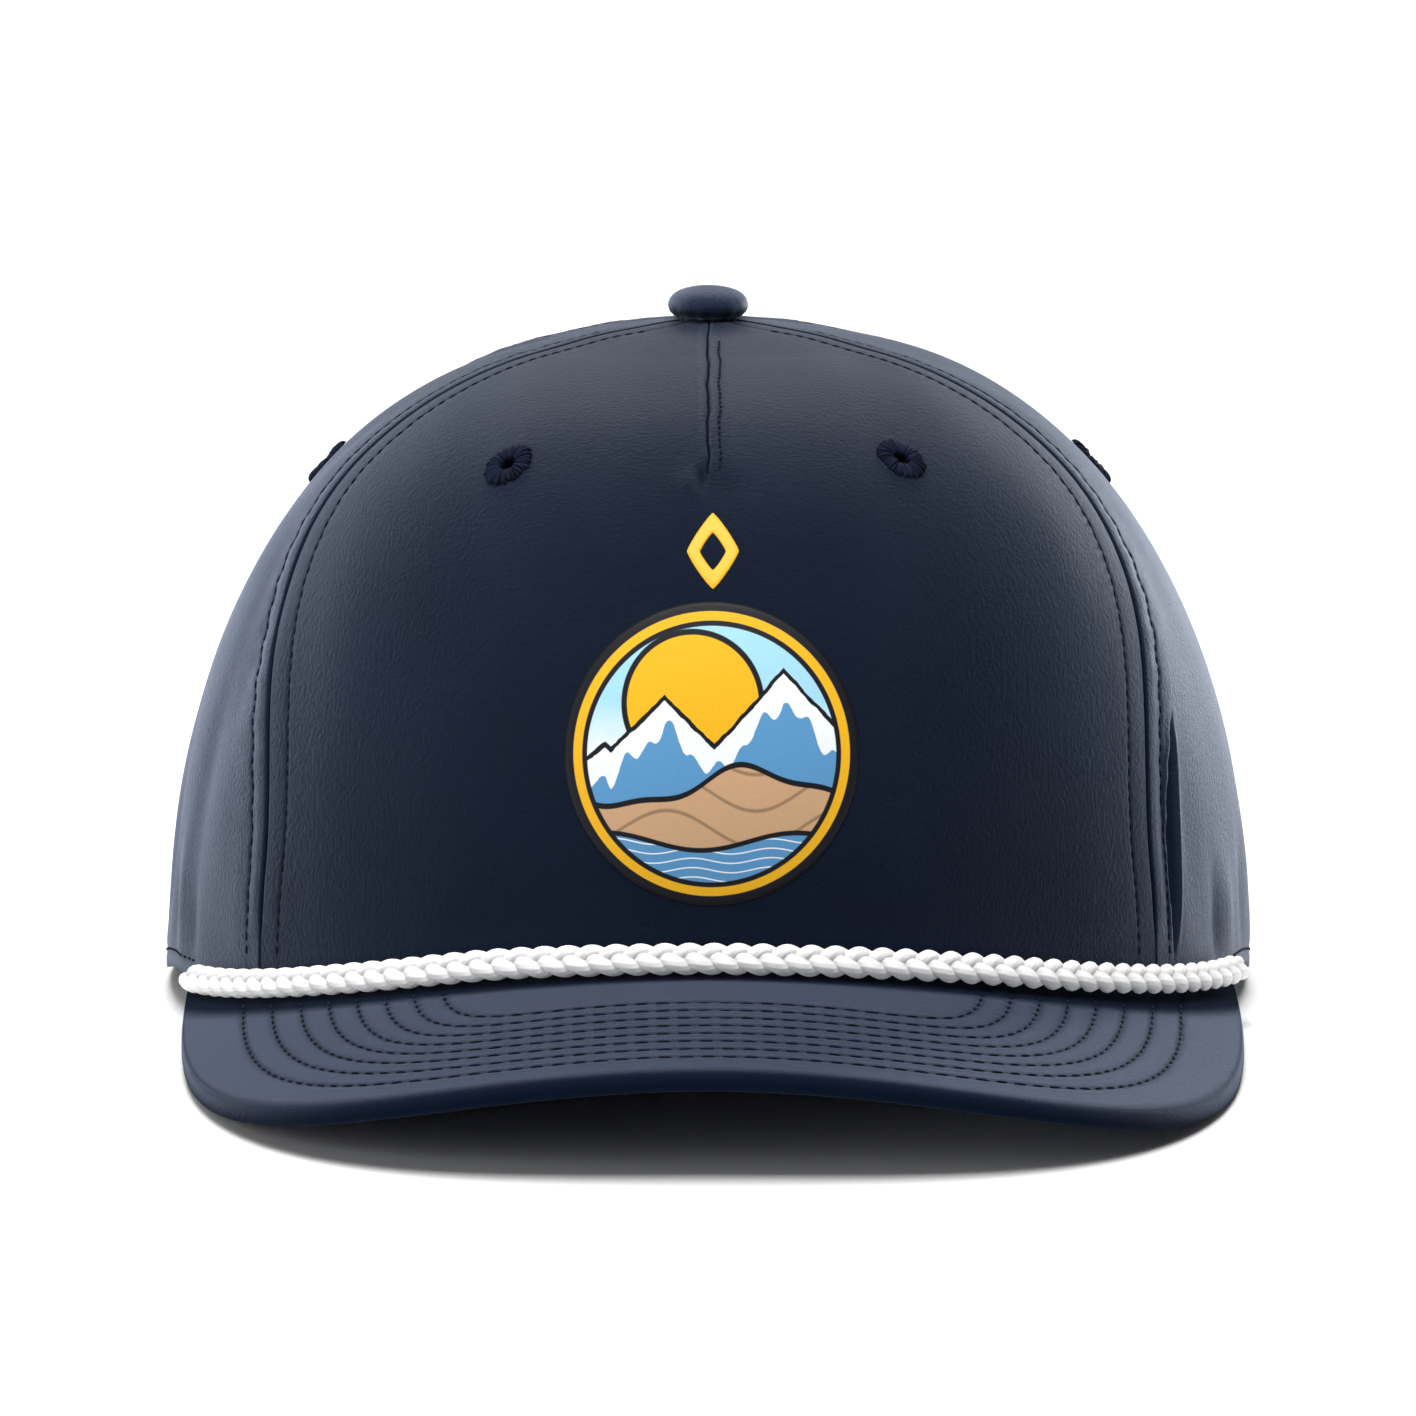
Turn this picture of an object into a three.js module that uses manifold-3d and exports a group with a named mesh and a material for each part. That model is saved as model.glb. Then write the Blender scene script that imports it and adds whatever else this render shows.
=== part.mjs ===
import * as THREE from "three";
import { mergeVertices } from "three/addons/utils/BufferGeometryUtils.js";
import Module from "manifold-3d";

// A five-panel rope cap, in millimetres, +Z up, resting on its rim and on the two corners of its visor.
// The front faces -Y, and +X is on the right for someone who looks at the front.
// Angles round the crown are counted from the front, positive towards +X.

const wasm = await Module();
wasm.setup();

// Driving dimensions of the crown
const RIM = { halfWidth: 92.4, front: 95, back: 97, power: 2.1 };
const APEX = { y: 2.9, z: 111.4 };
const PEAK = { rise: 2.4, from: 8, to: 30 };
const WALL = 1.8;
const GAP = 0.3;
const FACET_GAP = 0.45;
const APEX_HOLE_RADIUS = 3;

// How boxy the dome is: across is the power on its width, up the power on its height
const DOME = {
  side: { across: 2.8, up: 2.04 },
  front: { across: 3.2, up: 2.2 },
  back: { across: 2.6, up: 1.9 },
};

// Driving dimensions of the visor: its plan is half a superellipse, arched from side to side
const VISOR = {
  halfWidth: 87.5,
  startY: -33.5,
  reach: 123.6,
  power: 3.1,
  aside: 0.7,
  skew: 0.3,
  heightAtCrown: 20.8,
  slope: Math.tan(THREE.MathUtils.degToRad(2.73)),
  arch: 0.00217,
  archAtTip: 0.0027,
  tipY: -165,
  archStartY: -35,
  thickness: 3.3,
  endAngle: 70,
  rimDrop: 0.9,
  raysEachSide: 17,
};
// Where the visor's rows of corners lie, from its edge back to the crown, as shares of its depth
const VISOR_STATIONS = [1, 0.985, 0.9, 0.75, 0.6, 0.45, 0.3, 0.15, 0];

// The crown's hem drops from the visor's end to the floor between these two angles
const HEM_DOWN_ANGLE = 100;

const ROPE = { radius: 2.5, startAngle: -63.2, endAngle: 66.8, stations: 41, steps: 60, sides: 8 };
const BUTTON = {
  radius: 6.8,
  height: 5,
  wall: 1,
  undercut: 0.7,
  roundness: 0.75,
  domeSteps: 6,
  shank: 1.7,
  flange: 5.4,
  flangeHeight: 0.9,
  segments: 24,
};
const EYELET = {
  radius: 4,
  bore: 1.4,
  sleeve: 2.0,
  hole: 2.35,
  rise: 0.9,
  bevel: 0.6,
  boreBevel: 0.5,
  flange: 3.6,
  flangeHeight: 0.6,
  drillLength: 12,
  segments: 12,
};
const INNER_GAP = 0.8;
const SWEATBAND = { top: 0.19, thickness: 1.2, endAngle: 144, frontDrop: 3.2, sideLift: 1, columns: 61 };
const STRAP = { top: 0.11, thickness: 1.8, startAngle: 146, lift: 1, columns: 21 };
const BAND_ROWS = 3;
const BACK_ARCH = { halfWidth: 36, height: 44, startShare: 0.4, curveSegments: 12 };

// How finely a curve is measured when places are spaced evenly along it
const SAMPLES = 600;
// Half the distance between the two places whose difference gives a slope: along, degrees and mm
const NEAR = { along: 0.004, angle: 0.3, plan: 0.5 };
const ALMOST_RIM = 0.001;
const ALMOST_APEX = 0.999;

// The seams: angle from the front at the rim, and how it opens towards the top
const FRONT_SEAM = { rim: 51, opening: 16, from: 0.12, to: 0.62, topOpening: 4, topFrom: 0.75 };
const BACK_SEAM = { rim: 117, opening: 4, from: 0.1, to: 0.9 };

// Rise of the cloth beside a seam, in mm: plain edges tuck in, a lapped edge stands up as a ridge
const SEAM_COLUMNS = [
  { distance: 0.15, plain: -0.55, lapped: -0.05 },
  { distance: 1.7, plain: 0.0, lapped: 0.75 },
  { distance: 4.4, plain: -0.15, lapped: -0.3 },
];
const SEAM_FADE = { from: 0.03, to: 0.09 };
const SEAM_ROOM = 13;

// The dart in the front panel: a groove from the button down to the shoulder
const DART = { lowest: 0.62, full: 0.7, depth: 0.8, halfWidth: 1.8 };

// Broad folds and dents of the cloth: where, how wide and high, and how far they stand out or in
const FOLDS = [
  { angle: 58, along: 0.16, wide: 4.5, high: 0.13, rise: -0.8 },
  { angle: 66, along: 0.2, wide: 6, high: 0.2, rise: 0.8 },
  { angle: -60, along: 0.18, wide: 5, high: 0.16, rise: 0.7 },
  { angle: 84, along: 0.08, wide: 4, high: 0.1, rise: -0.6 },
  { angle: -82, along: 0.08, wide: 4, high: 0.1, rise: -0.6 },
  { angle: 150, along: 0.45, wide: 14, high: 0.16, rise: -0.8 },
  { angle: -146, along: 0.42, wide: 14, high: 0.16, rise: -0.9 },
  { angle: -112, along: 0.68, wide: 26, high: 0.13, rise: -0.9 },
];

const PANELS = [
  { name: "front_panel", from: "frontLeft", to: "frontRight", columns: 15, rows: 19 },
  { name: "side_panel_right", from: "frontRight", to: "backRight", columns: 8, rows: 17 },
  { name: "side_panel_left", from: "backLeft", to: "frontLeft", columns: 8, rows: 17 },
  { name: "back_panel_right", from: "backRight", to: "back", columns: 9, rows: 17 },
  { name: "back_panel_left", from: "backMinus", to: "backLeft", columns: 9, rows: 17 },
];

const EYELETS = [
  { name: "eyelet_front_left", panel: "front_panel", angle: -30.2, along: 0.631 },
  { name: "eyelet_front_right", panel: "front_panel", angle: 29.8, along: 0.643 },
  { name: "eyelet_side_left", panel: "side_panel_left", angle: -96, along: 0.578 },
  { name: "eyelet_side_right", panel: "side_panel_right", angle: 96, along: 0.578 },
  { name: "eyelet_back_left", panel: "back_panel_left", angle: -149, along: 0.6 },
  { name: "eyelet_back_right", panel: "back_panel_right", angle: 149, along: 0.6 },
];

const COLOURS = {
  navy: { color: 0x1f2940, roughness: 0.85, metalness: 0 },
  thread: { color: 0x182034, roughness: 0.7, metalness: 0 },
  rope: { color: 0xf1efe8, roughness: 0.8, metalness: 0 },
  band: { color: 0x1b2233, roughness: 0.9, metalness: 0 },
  plastic: { color: 0x1a2338, roughness: 0.5, metalness: 0 },
};

const { degToRad, smoothstep, lerp } = THREE.MathUtils;

// Smallest turn from the front, 0 to 180 degrees
function turnFromFront(angle) {
  const turn = Math.abs(angle) % 360;
  return turn > 180 ? 360 - turn : turn;
}

function rimPoint(angle) {
  const psi = degToRad(angle);
  const sine = Math.sin(psi);
  const cosine = Math.cos(psi);
  const depth = cosine > 0 ? RIM.front : RIM.back;
  const across = (Math.abs(sine) / RIM.halfWidth) ** RIM.power;
  const along = (Math.abs(cosine) / depth) ** RIM.power;
  const radius = (across + along) ** (-1 / RIM.power);
  return new THREE.Vector2(radius * sine, -radius * cosine);
}

// Height of the visor's upper face over a place in plan
function visorTop(x, y) {
  const forward = THREE.MathUtils.clamp((VISOR.archStartY - y) / (VISOR.archStartY - VISOR.tipY), 0, 1);
  const arch = lerp(VISOR.arch, VISOR.archAtTip, forward);
  return VISOR.heightAtCrown + (y + RIM.front) * VISOR.slope - arch * x * x;
}

// How much of the hem at this angle sits on the visor: 1 in front, 0 at the sides and behind
function hemOnVisor(angle) {
  return 1 - smoothstep(turnFromFront(angle), VISOR.endAngle, HEM_DOWN_ANGLE);
}

function hemHeight(angle) {
  const capped = Math.min(turnFromFront(angle), VISOR.endAngle);
  const place = rimPoint(capped);
  return (visorTop(place.x, place.y) + GAP) * hemOnVisor(angle);
}

function domePowers(angle) {
  const cosine = Math.cos(degToRad(angle));
  const end = cosine > 0 ? DOME.front : DOME.back;
  const share = cosine * cosine;
  return {
    across: lerp(DOME.side.across, end.across, share),
    up: lerp(DOME.side.up, end.up, share),
  };
}

// The plain dome, without folds, which peaks a little under the button.
// Along runs from 0 at the rim to 1 at the apex.
function domePoint(angle, along) {
  const theta = (along * Math.PI) / 2;
  const powers = domePowers(angle);
  const spread = Math.cos(theta) ** (2 / powers.across);
  const lift = Math.sin(theta) ** (2 / powers.up);
  const rim = rimPoint(angle);
  const hem = hemHeight(angle);
  const x = rim.x * spread;
  const y = (rim.y - APEX.y) * spread;
  const peak = PEAK.rise * (1 - smoothstep(Math.hypot(x, y), PEAK.from, PEAK.to));
  return new THREE.Vector3(x, APEX.y + y, hem + (APEX.z - hem) * lift + peak);
}

function domeNormal(angle, along) {
  const low = Math.max(along - NEAR.along, 0);
  const high = Math.min(along + NEAR.along, ALMOST_APEX);
  const up = domePoint(angle, high).sub(domePoint(angle, low));
  const round = domePoint(angle + NEAR.angle, along).sub(domePoint(angle - NEAR.angle, along));
  return round.cross(up).normalize();
}

// Millimetres of cloth for each degree round the crown
function roundScale(angle, along) {
  return domePoint(angle + 0.5, along).distanceTo(domePoint(angle - 0.5, along));
}

function foldRise(angle, along) {
  let rise = 0;
  for (const fold of FOLDS) {
    let turn = (angle - fold.angle) % 360;
    if (turn > 180) turn -= 360;
    if (turn < -180) turn += 360;
    const across = turn / fold.wide;
    const upward = (along - fold.along) / fold.high;
    rise += fold.rise * Math.exp(-across * across - upward * upward);
  }
  return rise * smoothstep(along, 0.02, 0.08);
}

// A point of the crown's cloth, raised or sunk from the plain dome
function clothPoint(angle, along, rise) {
  const lifted = rise + foldRise(angle, along);
  return domePoint(angle, along).addScaledVector(domeNormal(angle, along), lifted);
}

function frontSeam(along) {
  const opening = FRONT_SEAM.opening * smoothstep(along, FRONT_SEAM.from, FRONT_SEAM.to);
  return FRONT_SEAM.rim + opening + FRONT_SEAM.topOpening * smoothstep(along, FRONT_SEAM.topFrom, 1);
}

function backSeam(along) {
  return BACK_SEAM.rim + BACK_SEAM.opening * smoothstep(along, BACK_SEAM.from, BACK_SEAM.to);
}

// Each seam's angle, and how the cloth lies on the side before it and after it, going round towards +X
const SEAMS = {
  frontRight: { angle: frontSeam, before: "plain", after: "lapped" },
  frontLeft: { angle: (along) => -frontSeam(along), before: "lapped", after: "plain" },
  backRight: { angle: backSeam, before: "plain", after: "plain" },
  backLeft: { angle: (along) => -backSeam(along), before: "plain", after: "plain" },
  back: { angle: () => 180, before: "plain", after: "plain" },
  backMinus: { angle: () => -180, before: "plain", after: "plain" },
};

// Heights along the crown whose rows lie evenly spaced on the cloth, from the hem to the hole at the apex
function rowHeights(count) {
  const top = (2 / Math.PI) * Math.acos((APEX_HOLE_RADIUS / RIM.front) ** (DOME.side.across / 2));
  const travelled = [0];
  for (let i = 1; i <= SAMPLES; i += 1) {
    const step = domePoint(0, (top * i) / SAMPLES).distanceTo(domePoint(0, (top * (i - 1)) / SAMPLES));
    travelled.push(travelled[i - 1] + step);
  }
  const total = travelled[SAMPLES];
  return Array.from({ length: count }, (_, row) => {
    const wanted = (total * row) / (count - 1);
    const next = Math.max(1, travelled.findIndex((length) => length >= wanted - 1e-9));
    const part = (wanted - travelled[next - 1]) / (travelled[next] - travelled[next - 1]);
    return (top * (next - 1 + part)) / SAMPLES;
  });
}

// A closed shell between an outer and an inner grid of points, both counted [row][column]
function shellGeometry(outer, inner) {
  const rows = outer.length;
  const columns = outer[0].length;
  const positions = [...outer.flat(), ...inner.flat()].flatMap((point) => point.toArray());
  const out = (row, column) => row * columns + column;
  const inn = (row, column) => rows * columns + row * columns + column;
  const index = [];
  const quad = (a, b, c, d) => index.push(a, b, c, a, c, d);
  for (let row = 0; row < rows - 1; row += 1) {
    for (let column = 0; column < columns - 1; column += 1) {
      quad(out(row, column), out(row, column + 1), out(row + 1, column + 1), out(row + 1, column));
      quad(inn(row, column), inn(row + 1, column), inn(row + 1, column + 1), inn(row, column + 1));
    }
  }
  for (let column = 0; column < columns - 1; column += 1) {
    quad(out(0, column), inn(0, column), inn(0, column + 1), out(0, column + 1));
    const last = rows - 1;
    quad(out(last, column), out(last, column + 1), inn(last, column + 1), inn(last, column));
  }
  for (let row = 0; row < rows - 1; row += 1) {
    quad(out(row, 0), out(row + 1, 0), inn(row + 1, 0), inn(row, 0));
    const last = columns - 1;
    quad(out(row, last), inn(row, last), inn(row + 1, last), out(row + 1, last));
  }
  const geometry = new THREE.BufferGeometry();
  geometry.setAttribute("position", new THREE.Float32BufferAttribute(positions, 3));
  geometry.setIndex(index);
  return geometry;
}

function merged(geometry) {
  const plain = geometry.clone();
  plain.deleteAttribute("normal");
  plain.deleteAttribute("uv");
  return mergeVertices(plain, 1e-4);
}

function solidOf(geometry) {
  const plain = merged(geometry);
  return new wasm.Manifold(
    new wasm.Mesh({
      numProp: 3,
      vertProperties: new Float32Array(plain.attributes.position.array),
      triVerts: new Uint32Array(plain.index.array),
    }),
  );
}

function geometryOf(solid) {
  const mesh = solid.getMesh();
  const geometry = new THREE.BufferGeometry();
  geometry.setAttribute("position", new THREE.BufferAttribute(new Float32Array(mesh.vertProperties), 3));
  geometry.setIndex(new THREE.BufferAttribute(new Uint32Array(mesh.triVerts), 1));
  return geometry;
}

// The columns of one row of a panel: fixed distances beside both seams, even spacing between them
function panelColumns(panel, along) {
  const from = SEAMS[panel.from];
  const to = SEAMS[panel.to];
  const start = from.angle(along);
  const end = to.angle(along);
  const startScale = roundScale(start, along);
  const endScale = roundScale(end, along);
  const halfSpan = (roundScale((start + end) / 2, along) * (end - start)) / 2;
  const shrink = Math.min(1, halfSpan / SEAM_ROOM);
  const fade = smoothstep(along, SEAM_FADE.from, SEAM_FADE.to) * shrink;
  const near = SEAM_COLUMNS.map((column, order) => {
    const distance = order === 0 ? column.distance : column.distance * shrink;
    return { angle: start + distance / startScale, rise: column[from.after] * fade };
  });
  const far = SEAM_COLUMNS.map((column, order) => {
    const distance = order === 0 ? column.distance : column.distance * shrink;
    return { angle: end - distance / endScale, rise: column[to.before] * fade };
  });
  const first = near[near.length - 1].angle;
  const last = far[far.length - 1].angle;
  const between = [];
  for (let column = 1; column <= panel.columns; column += 1) {
    between.push({ angle: lerp(first, last, column / (panel.columns + 1)), rise: 0 });
  }
  return [...near, ...between, ...far.reverse()];
}

// Draws the middle three columns of a row together and sinks the middle one, which makes the dart
function addDart(columns, along) {
  const share = smoothstep(along, DART.lowest, DART.full);
  const middle = (columns.length - 1) / 2;
  const scale = roundScale(0, along);
  const plain = columns[middle + 1].angle;
  const close = Math.min(DART.halfWidth / scale, plain);
  columns[middle + 1].angle = lerp(plain, close, share);
  columns[middle - 1].angle = -columns[middle + 1].angle;
  const room = Math.min(1, (plain * scale) / DART.halfWidth);
  columns[middle].rise = -DART.depth * share * room;
}

// The inside of the cloth follows the plain dome, so folds and seams only show outside
function innerPoint(angle, along) {
  const outer = domePoint(angle, along);
  const inner = outer.clone().addScaledVector(domeNormal(angle, along), -WALL);
  if (along === 0) {
    const tilt = visorTop(inner.x, inner.y) - visorTop(outer.x, outer.y);
    inner.z = outer.z + tilt * hemOnVisor(angle);
  }
  return inner;
}

function panelGeometry(panel) {
  const outer = [];
  const inner = [];
  for (const along of rowHeights(panel.rows)) {
    const columns = panelColumns(panel, along);
    if (panel.name === "front_panel") addDart(columns, along);
    outer.push(columns.map((column) => clothPoint(column.angle, along, column.rise)));
    inner.push(columns.map((column) => innerPoint(column.angle, along)));
  }
  return shellGeometry(outer, inner);
}

// Sets an object that was made along +Y on the crown, so that its +Y points out of the cloth
function seatOnCrown(object, angle, along) {
  object.position.copy(clothPoint(angle, along, 0));
  object.quaternion.setFromUnitVectors(new THREE.Vector3(0, 1, 0), domeNormal(angle, along));
  object.updateMatrix();
}

function eyeletHole(eyelet) {
  const { hole, drillLength, segments } = EYELET;
  const drill = new THREE.Mesh(new THREE.CylinderGeometry(hole, hole, drillLength, segments));
  seatOnCrown(drill, eyelet.angle, eyelet.along);
  return solidOf(drill.geometry.applyMatrix4(drill.matrix));
}

// The arched opening over the strap, cut straight through the back panels
function backArchCut() {
  const straight = BACK_ARCH.height - BACK_ARCH.halfWidth;
  const outline = new THREE.Shape();
  outline.moveTo(-BACK_ARCH.halfWidth, -BACK_ARCH.height);
  outline.lineTo(BACK_ARCH.halfWidth, -BACK_ARCH.height);
  outline.lineTo(BACK_ARCH.halfWidth, straight);
  outline.absarc(0, straight, BACK_ARCH.halfWidth, 0, Math.PI);
  const depth = RIM.back;
  const { curveSegments, startShare } = BACK_ARCH;
  const geometry = new THREE.ExtrudeGeometry(outline, { depth, bevelEnabled: false, curveSegments });
  geometry.rotateX(Math.PI / 2);
  geometry.translate(0, depth * (1 + startShare), 0);
  return solidOf(geometry);
}

function cutPanel(panel) {
  let solid = solidOf(panelGeometry(panel));
  for (const eyelet of EYELETS) {
    if (eyelet.panel === panel.name) solid = solid.subtract(eyeletHole(eyelet));
  }
  if (panel.name.startsWith("back")) solid = solid.subtract(backArchCut());
  return geometryOf(solid);
}

// A round piece with a bore: the outline is listed as radius and height pairs and closes on itself
function ringGeometry(outline, segments) {
  const points = outline.map(([radius, height]) => new THREE.Vector2(radius, height));
  return new THREE.LatheGeometry([...points, points[0].clone()], segments);
}

// An embroidered ring outside the cloth, a sleeve through it and a thin flange inside
function eyeletGeometry() {
  const under = -(WALL + INNER_GAP);
  return ringGeometry(
    [
      [EYELET.bore, under - EYELET.flangeHeight],
      [EYELET.flange, under - EYELET.flangeHeight],
      [EYELET.flange, under],
      [EYELET.sleeve, under],
      [EYELET.sleeve, GAP],
      [EYELET.radius, GAP],
      [EYELET.radius - EYELET.bevel, EYELET.rise],
      [EYELET.bore + EYELET.boreBevel, EYELET.rise],
      [EYELET.bore, EYELET.rise - EYELET.boreBevel],
    ],
    EYELET.segments,
  );
}

// The covered button: a dome, a shank through the apex and a flange that holds it from inside
function buttonGeometry() {
  const under = -(WALL + INNER_GAP);
  const points = [
    new THREE.Vector2(0, under - BUTTON.flangeHeight),
    new THREE.Vector2(BUTTON.flange, under - BUTTON.flangeHeight),
    new THREE.Vector2(BUTTON.flange, under),
    new THREE.Vector2(BUTTON.shank, under),
    new THREE.Vector2(BUTTON.shank, GAP),
    new THREE.Vector2(BUTTON.radius - BUTTON.undercut, GAP),
  ];
  for (let step = 0; step < BUTTON.domeSteps; step += 1) {
    const theta = (step / BUTTON.domeSteps) * (Math.PI / 2);
    const radius = BUTTON.radius * Math.cos(theta) ** BUTTON.roundness;
    points.push(new THREE.Vector2(radius, GAP + lerp(BUTTON.wall, BUTTON.height, Math.sin(theta))));
  }
  points.push(new THREE.Vector2(0, GAP + BUTTON.height));
  return new THREE.LatheGeometry(points, BUTTON.segments);
}

// Where the visor's plan starts under the crown's wall, and where it ends at its edge
function visorStations(share) {
  const angle = VISOR.endAngle * share;
  const rim = rimPoint(angle);
  const inward = domeNormal(angle, ALMOST_RIM).setZ(0).normalize().multiplyScalar(-WALL);
  const start = new THREE.Vector2(rim.x + inward.x, rim.y + inward.y);
  const turn = (Math.PI / 2) * share;
  const power = 2 / VISOR.power;
  const half = VISOR.halfWidth * Math.abs(Math.sin(turn)) ** power;
  const x = Math.sign(share) * half + VISOR.aside + VISOR.skew * Math.cos(turn) ** power;
  const y = VISOR.startY - VISOR.reach * Math.cos(turn) ** power;
  return { start, end: new THREE.Vector2(x, y) };
}

// Shares of the visor's width whose rays reach its edge at even distances
function visorShares(count) {
  const travelled = [0];
  for (let i = 1; i <= SAMPLES; i += 1) {
    const here = visorStations(i / SAMPLES).end;
    const before = visorStations((i - 1) / SAMPLES).end;
    travelled.push(travelled[i - 1] + here.distanceTo(before));
  }
  const half = [];
  for (let step = 1; step <= count; step += 1) {
    const wanted = (travelled[SAMPLES] * step) / count;
    const next = travelled.findIndex((length) => length >= wanted - 1e-6);
    half.push((next === -1 ? SAMPLES : next) / SAMPLES);
  }
  half[count - 1] = 1;
  return [...half.map((share) => -share).reverse(), 0, ...half];
}

function visorGeometry() {
  const rays = visorShares(VISOR.raysEachSide).map(visorStations);
  const top = [];
  const bottom = [];
  for (const share of VISOR_STATIONS) {
    const place = rays.map((ray) => ray.start.clone().lerp(ray.end, share));
    const drop = share === 1 ? VISOR.rimDrop : 0;
    top.push(place.map((spot) => new THREE.Vector3(spot.x, spot.y, visorTop(spot.x, spot.y) - drop)));
    bottom.push(
      place.map((spot) => {
        const height = visorTop(spot.x, spot.y) - VISOR.thickness + drop;
        return new THREE.Vector3(spot.x, spot.y, height);
      }),
    );
  }
  return shellGeometry(top, bottom);
}

// The rope's middle line: clear of the crown's wall and of the visor by the same small gap
function ropePoint(angle) {
  const rim = rimPoint(angle);
  const outward = domeNormal(angle, ALMOST_RIM).setZ(0).normalize();
  const reach = ROPE.radius + GAP;
  const x = rim.x + outward.x * reach;
  const y = rim.y + outward.y * reach;
  const step = NEAR.plan;
  const slopeX = (visorTop(x + step, y) - visorTop(x - step, y)) / (2 * step);
  const slopeY = (visorTop(x, y + step) - visorTop(x, y - step)) / (2 * step);
  return new THREE.Vector3(x, y, visorTop(x, y) + reach * Math.hypot(1, slopeX, slopeY));
}

function ropeGeometry() {
  const points = Array.from({ length: ROPE.stations }, (_, i) => {
    return ropePoint(lerp(ROPE.startAngle, ROPE.endAngle, i / (ROPE.stations - 1)));
  });
  const section = new THREE.Shape();
  for (let side = 0; side < ROPE.sides; side += 1) {
    const turn = (2 * Math.PI * side) / ROPE.sides;
    const corner = [ROPE.radius * Math.cos(turn), ROPE.radius * Math.sin(turn)];
    if (side === 0) section.moveTo(...corner);
    else section.lineTo(...corner);
  }
  return new THREE.ExtrudeGeometry(section, {
    steps: ROPE.steps,
    bevelEnabled: false,
    extrudePath: new THREE.CatmullRomCurve3(points),
  });
}

// A band that follows the inside of the crown between two angles
function bandGeometry({ from, to, columns, thickness, top, lift }) {
  const depth = WALL + FACET_GAP;
  const outer = [];
  const inner = [];
  const angles = Array.from({ length: columns }, (_, i) => lerp(from, to, i / (columns - 1)));
  for (let row = 0; row < BAND_ROWS; row += 1) {
    const share = row / (BAND_ROWS - 1);
    const place = (angle, inset) => {
      const along = top * share;
      const point = domePoint(angle, along).addScaledVector(domeNormal(angle, along), -inset);
      point.z += lift(angle) * (1 - share);
      return point;
    };
    outer.push(angles.map((angle) => place(angle, depth)));
    inner.push(angles.map((angle) => place(angle, depth + thickness)));
  }
  return shellGeometry(outer, inner);
}

function sweatbandGeometry() {
  return bandGeometry({
    from: -SWEATBAND.endAngle,
    to: SWEATBAND.endAngle,
    columns: SWEATBAND.columns,
    thickness: SWEATBAND.thickness,
    top: SWEATBAND.top,
    lift: (angle) => lerp(SWEATBAND.sideLift, -SWEATBAND.frontDrop, hemOnVisor(angle)),
  });
}

function strapGeometry() {
  return bandGeometry({
    from: STRAP.startAngle,
    to: 360 - STRAP.startAngle,
    columns: STRAP.columns,
    thickness: STRAP.thickness,
    top: STRAP.top,
    lift: () => STRAP.lift,
  });
}

function piece(name, geometry, colour) {
  const body = merged(geometry);
  body.computeVertexNormals();
  const mesh = new THREE.Mesh(body, new THREE.MeshStandardMaterial(COLOURS[colour]));
  mesh.name = name;
  return mesh;
}

const crown = new THREE.Group();
for (const panel of PANELS) {
  crown.add(piece(panel.name, cutPanel(panel), "navy"));
}
for (const eyelet of EYELETS) {
  const ring = piece(eyelet.name, eyeletGeometry(), "thread");
  seatOnCrown(ring, eyelet.angle, eyelet.along);
  crown.add(ring);
}

const button = piece("button", buttonGeometry(), "navy");
button.position.set(0, APEX.y, APEX.z + PEAK.rise);
button.rotation.x = Math.PI / 2;
crown.add(button);

const front = new THREE.Group();
front.add(piece("visor", visorGeometry(), "navy"));
front.add(piece("rope", ropeGeometry(), "rope"));

const inside = new THREE.Group();
inside.add(piece("sweatband", sweatbandGeometry(), "band"));
inside.add(piece("snap_strap", strapGeometry(), "plastic"));

// The origin is on the floor, halfway from the visor's tip to the back of the strap
const visorTipY = VISOR.startY - VISOR.reach;
const strapBackY = RIM.back - WALL - FACET_GAP;
const group = new THREE.Group();
const cap = new THREE.Group();
cap.position.y = -(visorTipY + strapBackY) / 2;
cap.add(crown, front, inside);
group.add(cap);

export default group;
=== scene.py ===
"""Sews a five-panel rope cap round its measured frame: cloth, stitches, cord, button, eyelets and studio.

Sizes in the tables are millimetres in the crown's own frame: +Z up, the front towards -Y, and angles
counted in degrees round the crown from the front, positive towards +X. Meshes are written in metres.
"""

import math

import bmesh
import bpy
import numpy as np
from mathutils import Matrix, Vector


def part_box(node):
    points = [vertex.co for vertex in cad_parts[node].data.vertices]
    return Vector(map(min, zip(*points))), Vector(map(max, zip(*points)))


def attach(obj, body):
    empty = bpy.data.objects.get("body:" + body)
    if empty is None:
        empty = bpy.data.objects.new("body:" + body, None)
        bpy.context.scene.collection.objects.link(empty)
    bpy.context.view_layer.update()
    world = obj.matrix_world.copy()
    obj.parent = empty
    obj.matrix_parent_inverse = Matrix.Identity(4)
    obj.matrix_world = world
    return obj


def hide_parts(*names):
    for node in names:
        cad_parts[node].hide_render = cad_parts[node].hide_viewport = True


bl_info = {
    "name": "Five-panel rope cap",
    "version": (1, 0, 0),
    "blender": (4, 5, 0),
    "location": "3D View > Sidebar > Cap",
    "description": "Sews a five-panel rope cap round its measured frame",
    "category": "Add Mesh",
}

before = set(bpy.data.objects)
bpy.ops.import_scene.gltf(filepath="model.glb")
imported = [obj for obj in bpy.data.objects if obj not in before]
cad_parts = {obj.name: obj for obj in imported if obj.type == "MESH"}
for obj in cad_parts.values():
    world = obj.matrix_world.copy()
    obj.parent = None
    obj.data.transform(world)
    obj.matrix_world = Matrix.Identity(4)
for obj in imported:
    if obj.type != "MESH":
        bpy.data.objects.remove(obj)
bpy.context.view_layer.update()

MM = 0.001
# The visor's tip lies this far in front of the crown's middle, which gives the crown's place in the frame
VISOR_TIP = 157.1
CROWN_MIDDLE = np.array([0.0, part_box("visor")[0].y / MM + VISOR_TIP, 0.0])

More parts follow.
